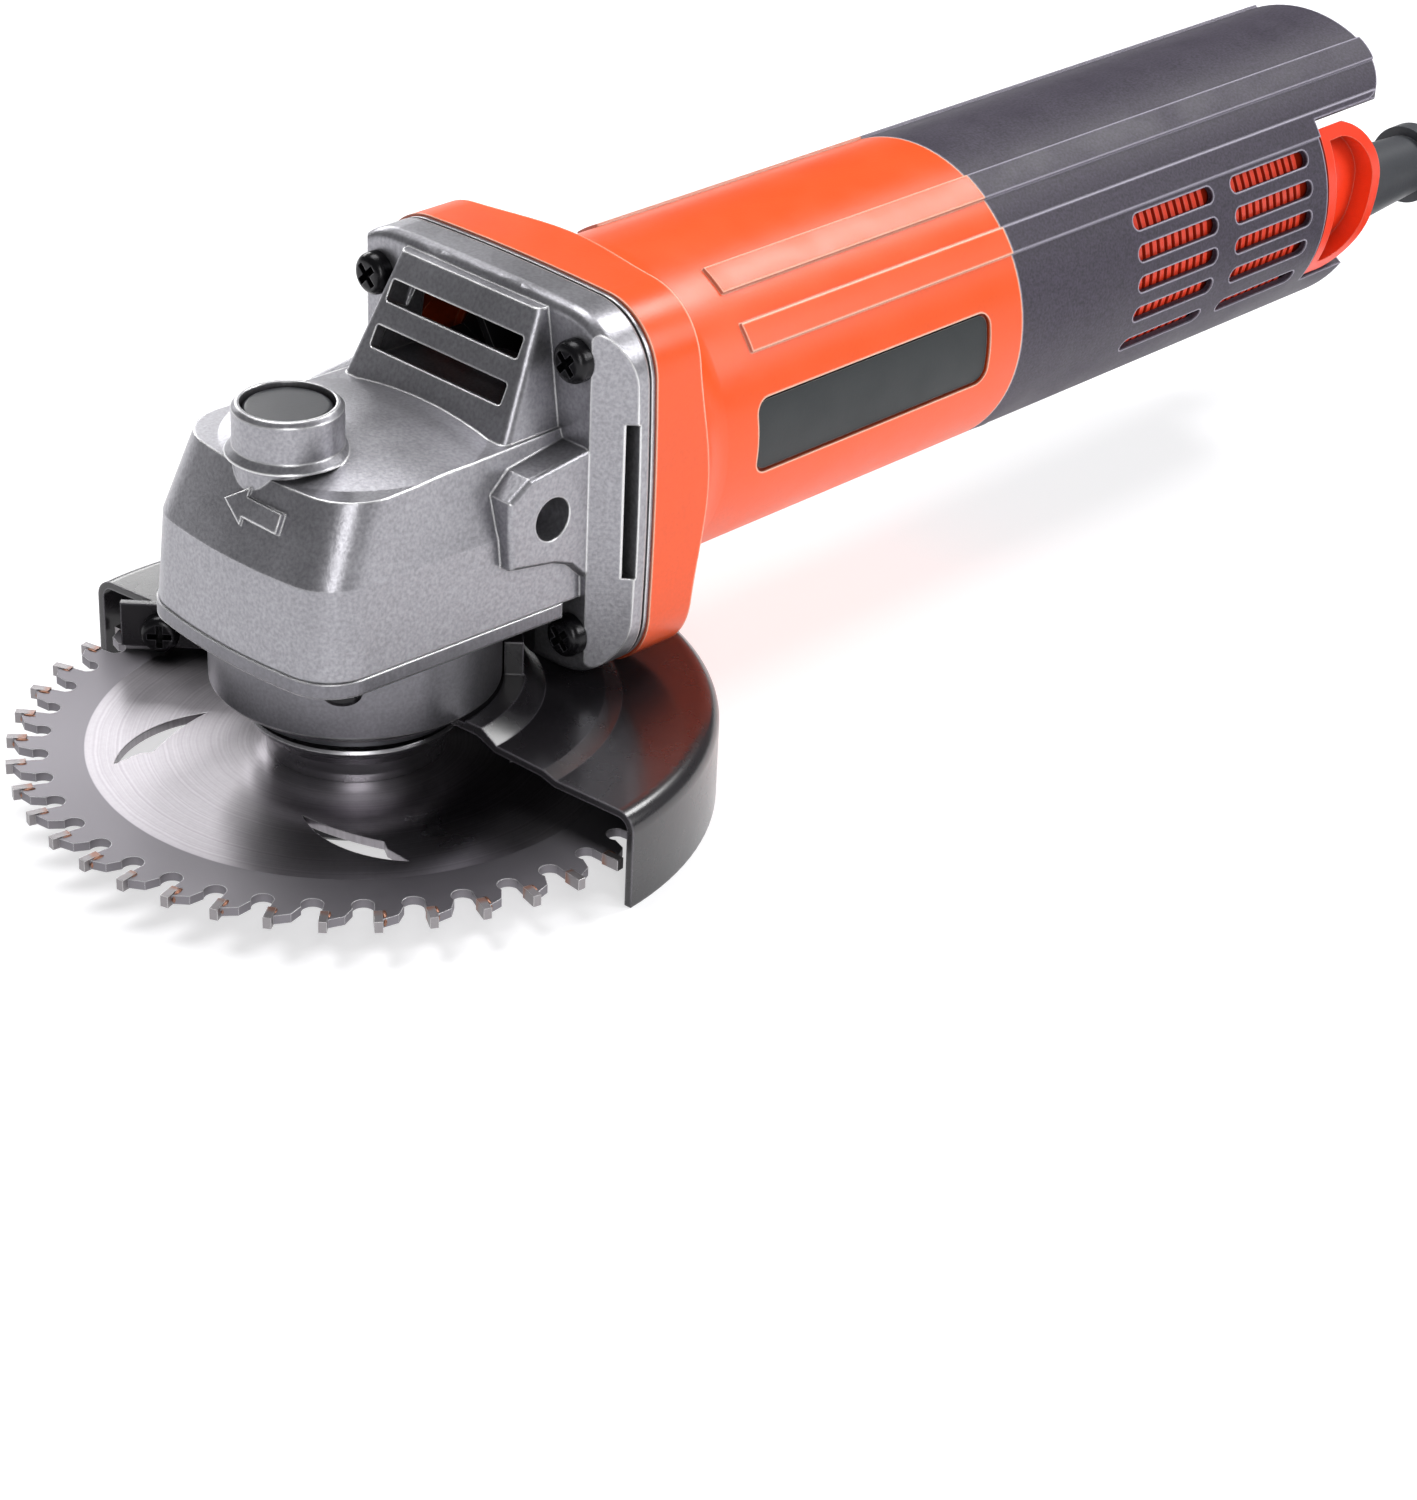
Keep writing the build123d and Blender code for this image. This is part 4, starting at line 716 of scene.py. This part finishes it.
@dataclass
class PowerCord:
    """Rubber cord from the strain relief to a coil on the floor and on to its plug."""

    diameter: float = 7.0
    relief_end: tuple[float, float, float] = (284.0, 0.0, 33.2)
    lead: list[tuple[float, float, float]] = field(default_factory=lambda: [
        (284.0, 0.0, 33.2), (298.0, 0.0, 33.2), (315.5, -0.6, 29.6), (332.5, -5.6, 20.6),
        (347.0, -15.4, 10.4),
        (358.6, -29.4, 4.1), (366.4, -46.2, 3.0)])
    tail: list[tuple[float, float, float]] = field(default_factory=lambda: [
        (303.5, -111.5, 8.6), (289.0, -112.6, 5.8), (276.0, -114.2, 5.8)])
    coil_centre: tuple[float, float] = (316.0, -62.0)
    outer_turn: float = 52.8
    pitch: float = 7.1
    floor_turns: int = 4
    upper_rise: float = 6.1
    steps: int = 16
    cross_from: float = 285.0
    cross_to: float = 345.0
    climb_from: float = 180.0
    climb_over: float = 95.0
    climb_ease: float = 1.6
    hump: float = 1.3
    hump_from: float = 268.0
    hump_over: float = 92.0

    def turn_at(self, turned: float) -> tuple[float, float, float]:
        """Where the wound cord is after a given turn.

        Args:
            turned: clockwise degrees since the cord met the coil.

        Returns:
            Radius from the coil's middle, height and angle in radians.
        """
        lap, within = int(turned // 360), turned % 360
        cross = min(max((within - self.cross_from) / (self.cross_to - self.cross_from), 0.0), 1.0)
        cross = cross * cross * (3 - 2 * cross)
        low = FLOOR_Z + self.diameter / 2
        inner = self.outer_turn - self.pitch * (self.floor_turns - 1)
        layer = CordLay.FLOOR_LAYER if lap < self.floor_turns - 1 else CordLay.UPPER_LAYER
        if layer is CordLay.FLOOR_LAYER:
            reach, height = self.outer_turn - self.pitch * (lap + cross), low
        elif lap == self.floor_turns - 1:
            climb = min(max((within - self.climb_from) / self.climb_over, 0.0), 1.0)
            climb = climb * climb * (3 - 2 * climb)
            reach = inner + self.pitch / 2 * climb ** self.climb_ease
            height = low + self.upper_rise * climb
        else:
            reach = inner + self.pitch * (0.5 + (lap - self.floor_turns) + cross)
            height = low + self.upper_rise
        if layer is CordLay.UPPER_LAYER:
            over = min(max((within - self.hump_from) / self.hump_over, 0.0), 1.0)
            height += self.hump * math.sin(math.pi * over)
        return reach, height, -math.radians(turned)

    def points(self) -> list[Vector]:
        """Control points of the whole cord.

        Returns:
            Points in millimetres, from the strain relief to the plug.
        """
        step = 360 / self.steps
        total = 360 * (self.floor_turns + 2) + 90
        grow = 1 / (0.75 + 0.25 * math.cos(math.radians(step)))
        route = [Vector(p) for p in self.lead]
        for i in range(int(total / step) + 1):
            reach, height, angle = self.turn_at(i * step)
            route.append(Vector((self.coil_centre[0] + reach * grow * math.cos(angle),
                                 self.coil_centre[1] + reach * grow * math.sin(angle), height)))
        return route + [Vector(p) for p in self.tail]

    def build(self, wardrobe: Wardrobe) -> list[bpy.types.Object]:
        """Lay the cord as one spline.

        Args:
            wardrobe: finishes.

        Returns:
            The pieces made.
        """
        curve = bpy.data.curves.new("power_cord_line", "CURVE")
        curve.dimensions = "3D"
        spline = curve.splines.new("NURBS")
        route = self.points()
        spline.points.add(len(route) - 1)
        for point, spot in zip(spline.points, route):
            point.co = (*(spot * MM), 1.0)
        spline.order_u = 3
        spline.use_endpoint_u = True
        spline.resolution_u = 6
        curve.bevel_depth = self.diameter / 2 * MM
        curve.bevel_resolution = 6
        curve.use_fill_caps = True
        curve.materials.append(wardrobe.made["cord_rubber"])
        cord = bpy.data.objects.new("mains_cord", curve)
        bpy.context.scene.collection.objects.link(cord)
        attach(cord, "housing")
        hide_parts("power_cord", "cord_coil", "plug_lead")
        return [cord]


def main() -> None:
    """Build every sub-assembly in order and report it."""
    logging.basicConfig(level=logging.INFO, format="%(name)s: %(message)s")
    Viewpoint().place()
    wardrobe = Wardrobe(frame["record"])
    wardrobe.dress(frame["nodes"])
    Studio().build()
    repeat = RoundRepeat("round_repeat")
    made = PowerCord().build(wardrobe) + SawBlade().build(repeat)
    for piece in made:
        log.info("%s is built", piece.name)


if __name__ == "__main__":
    main()
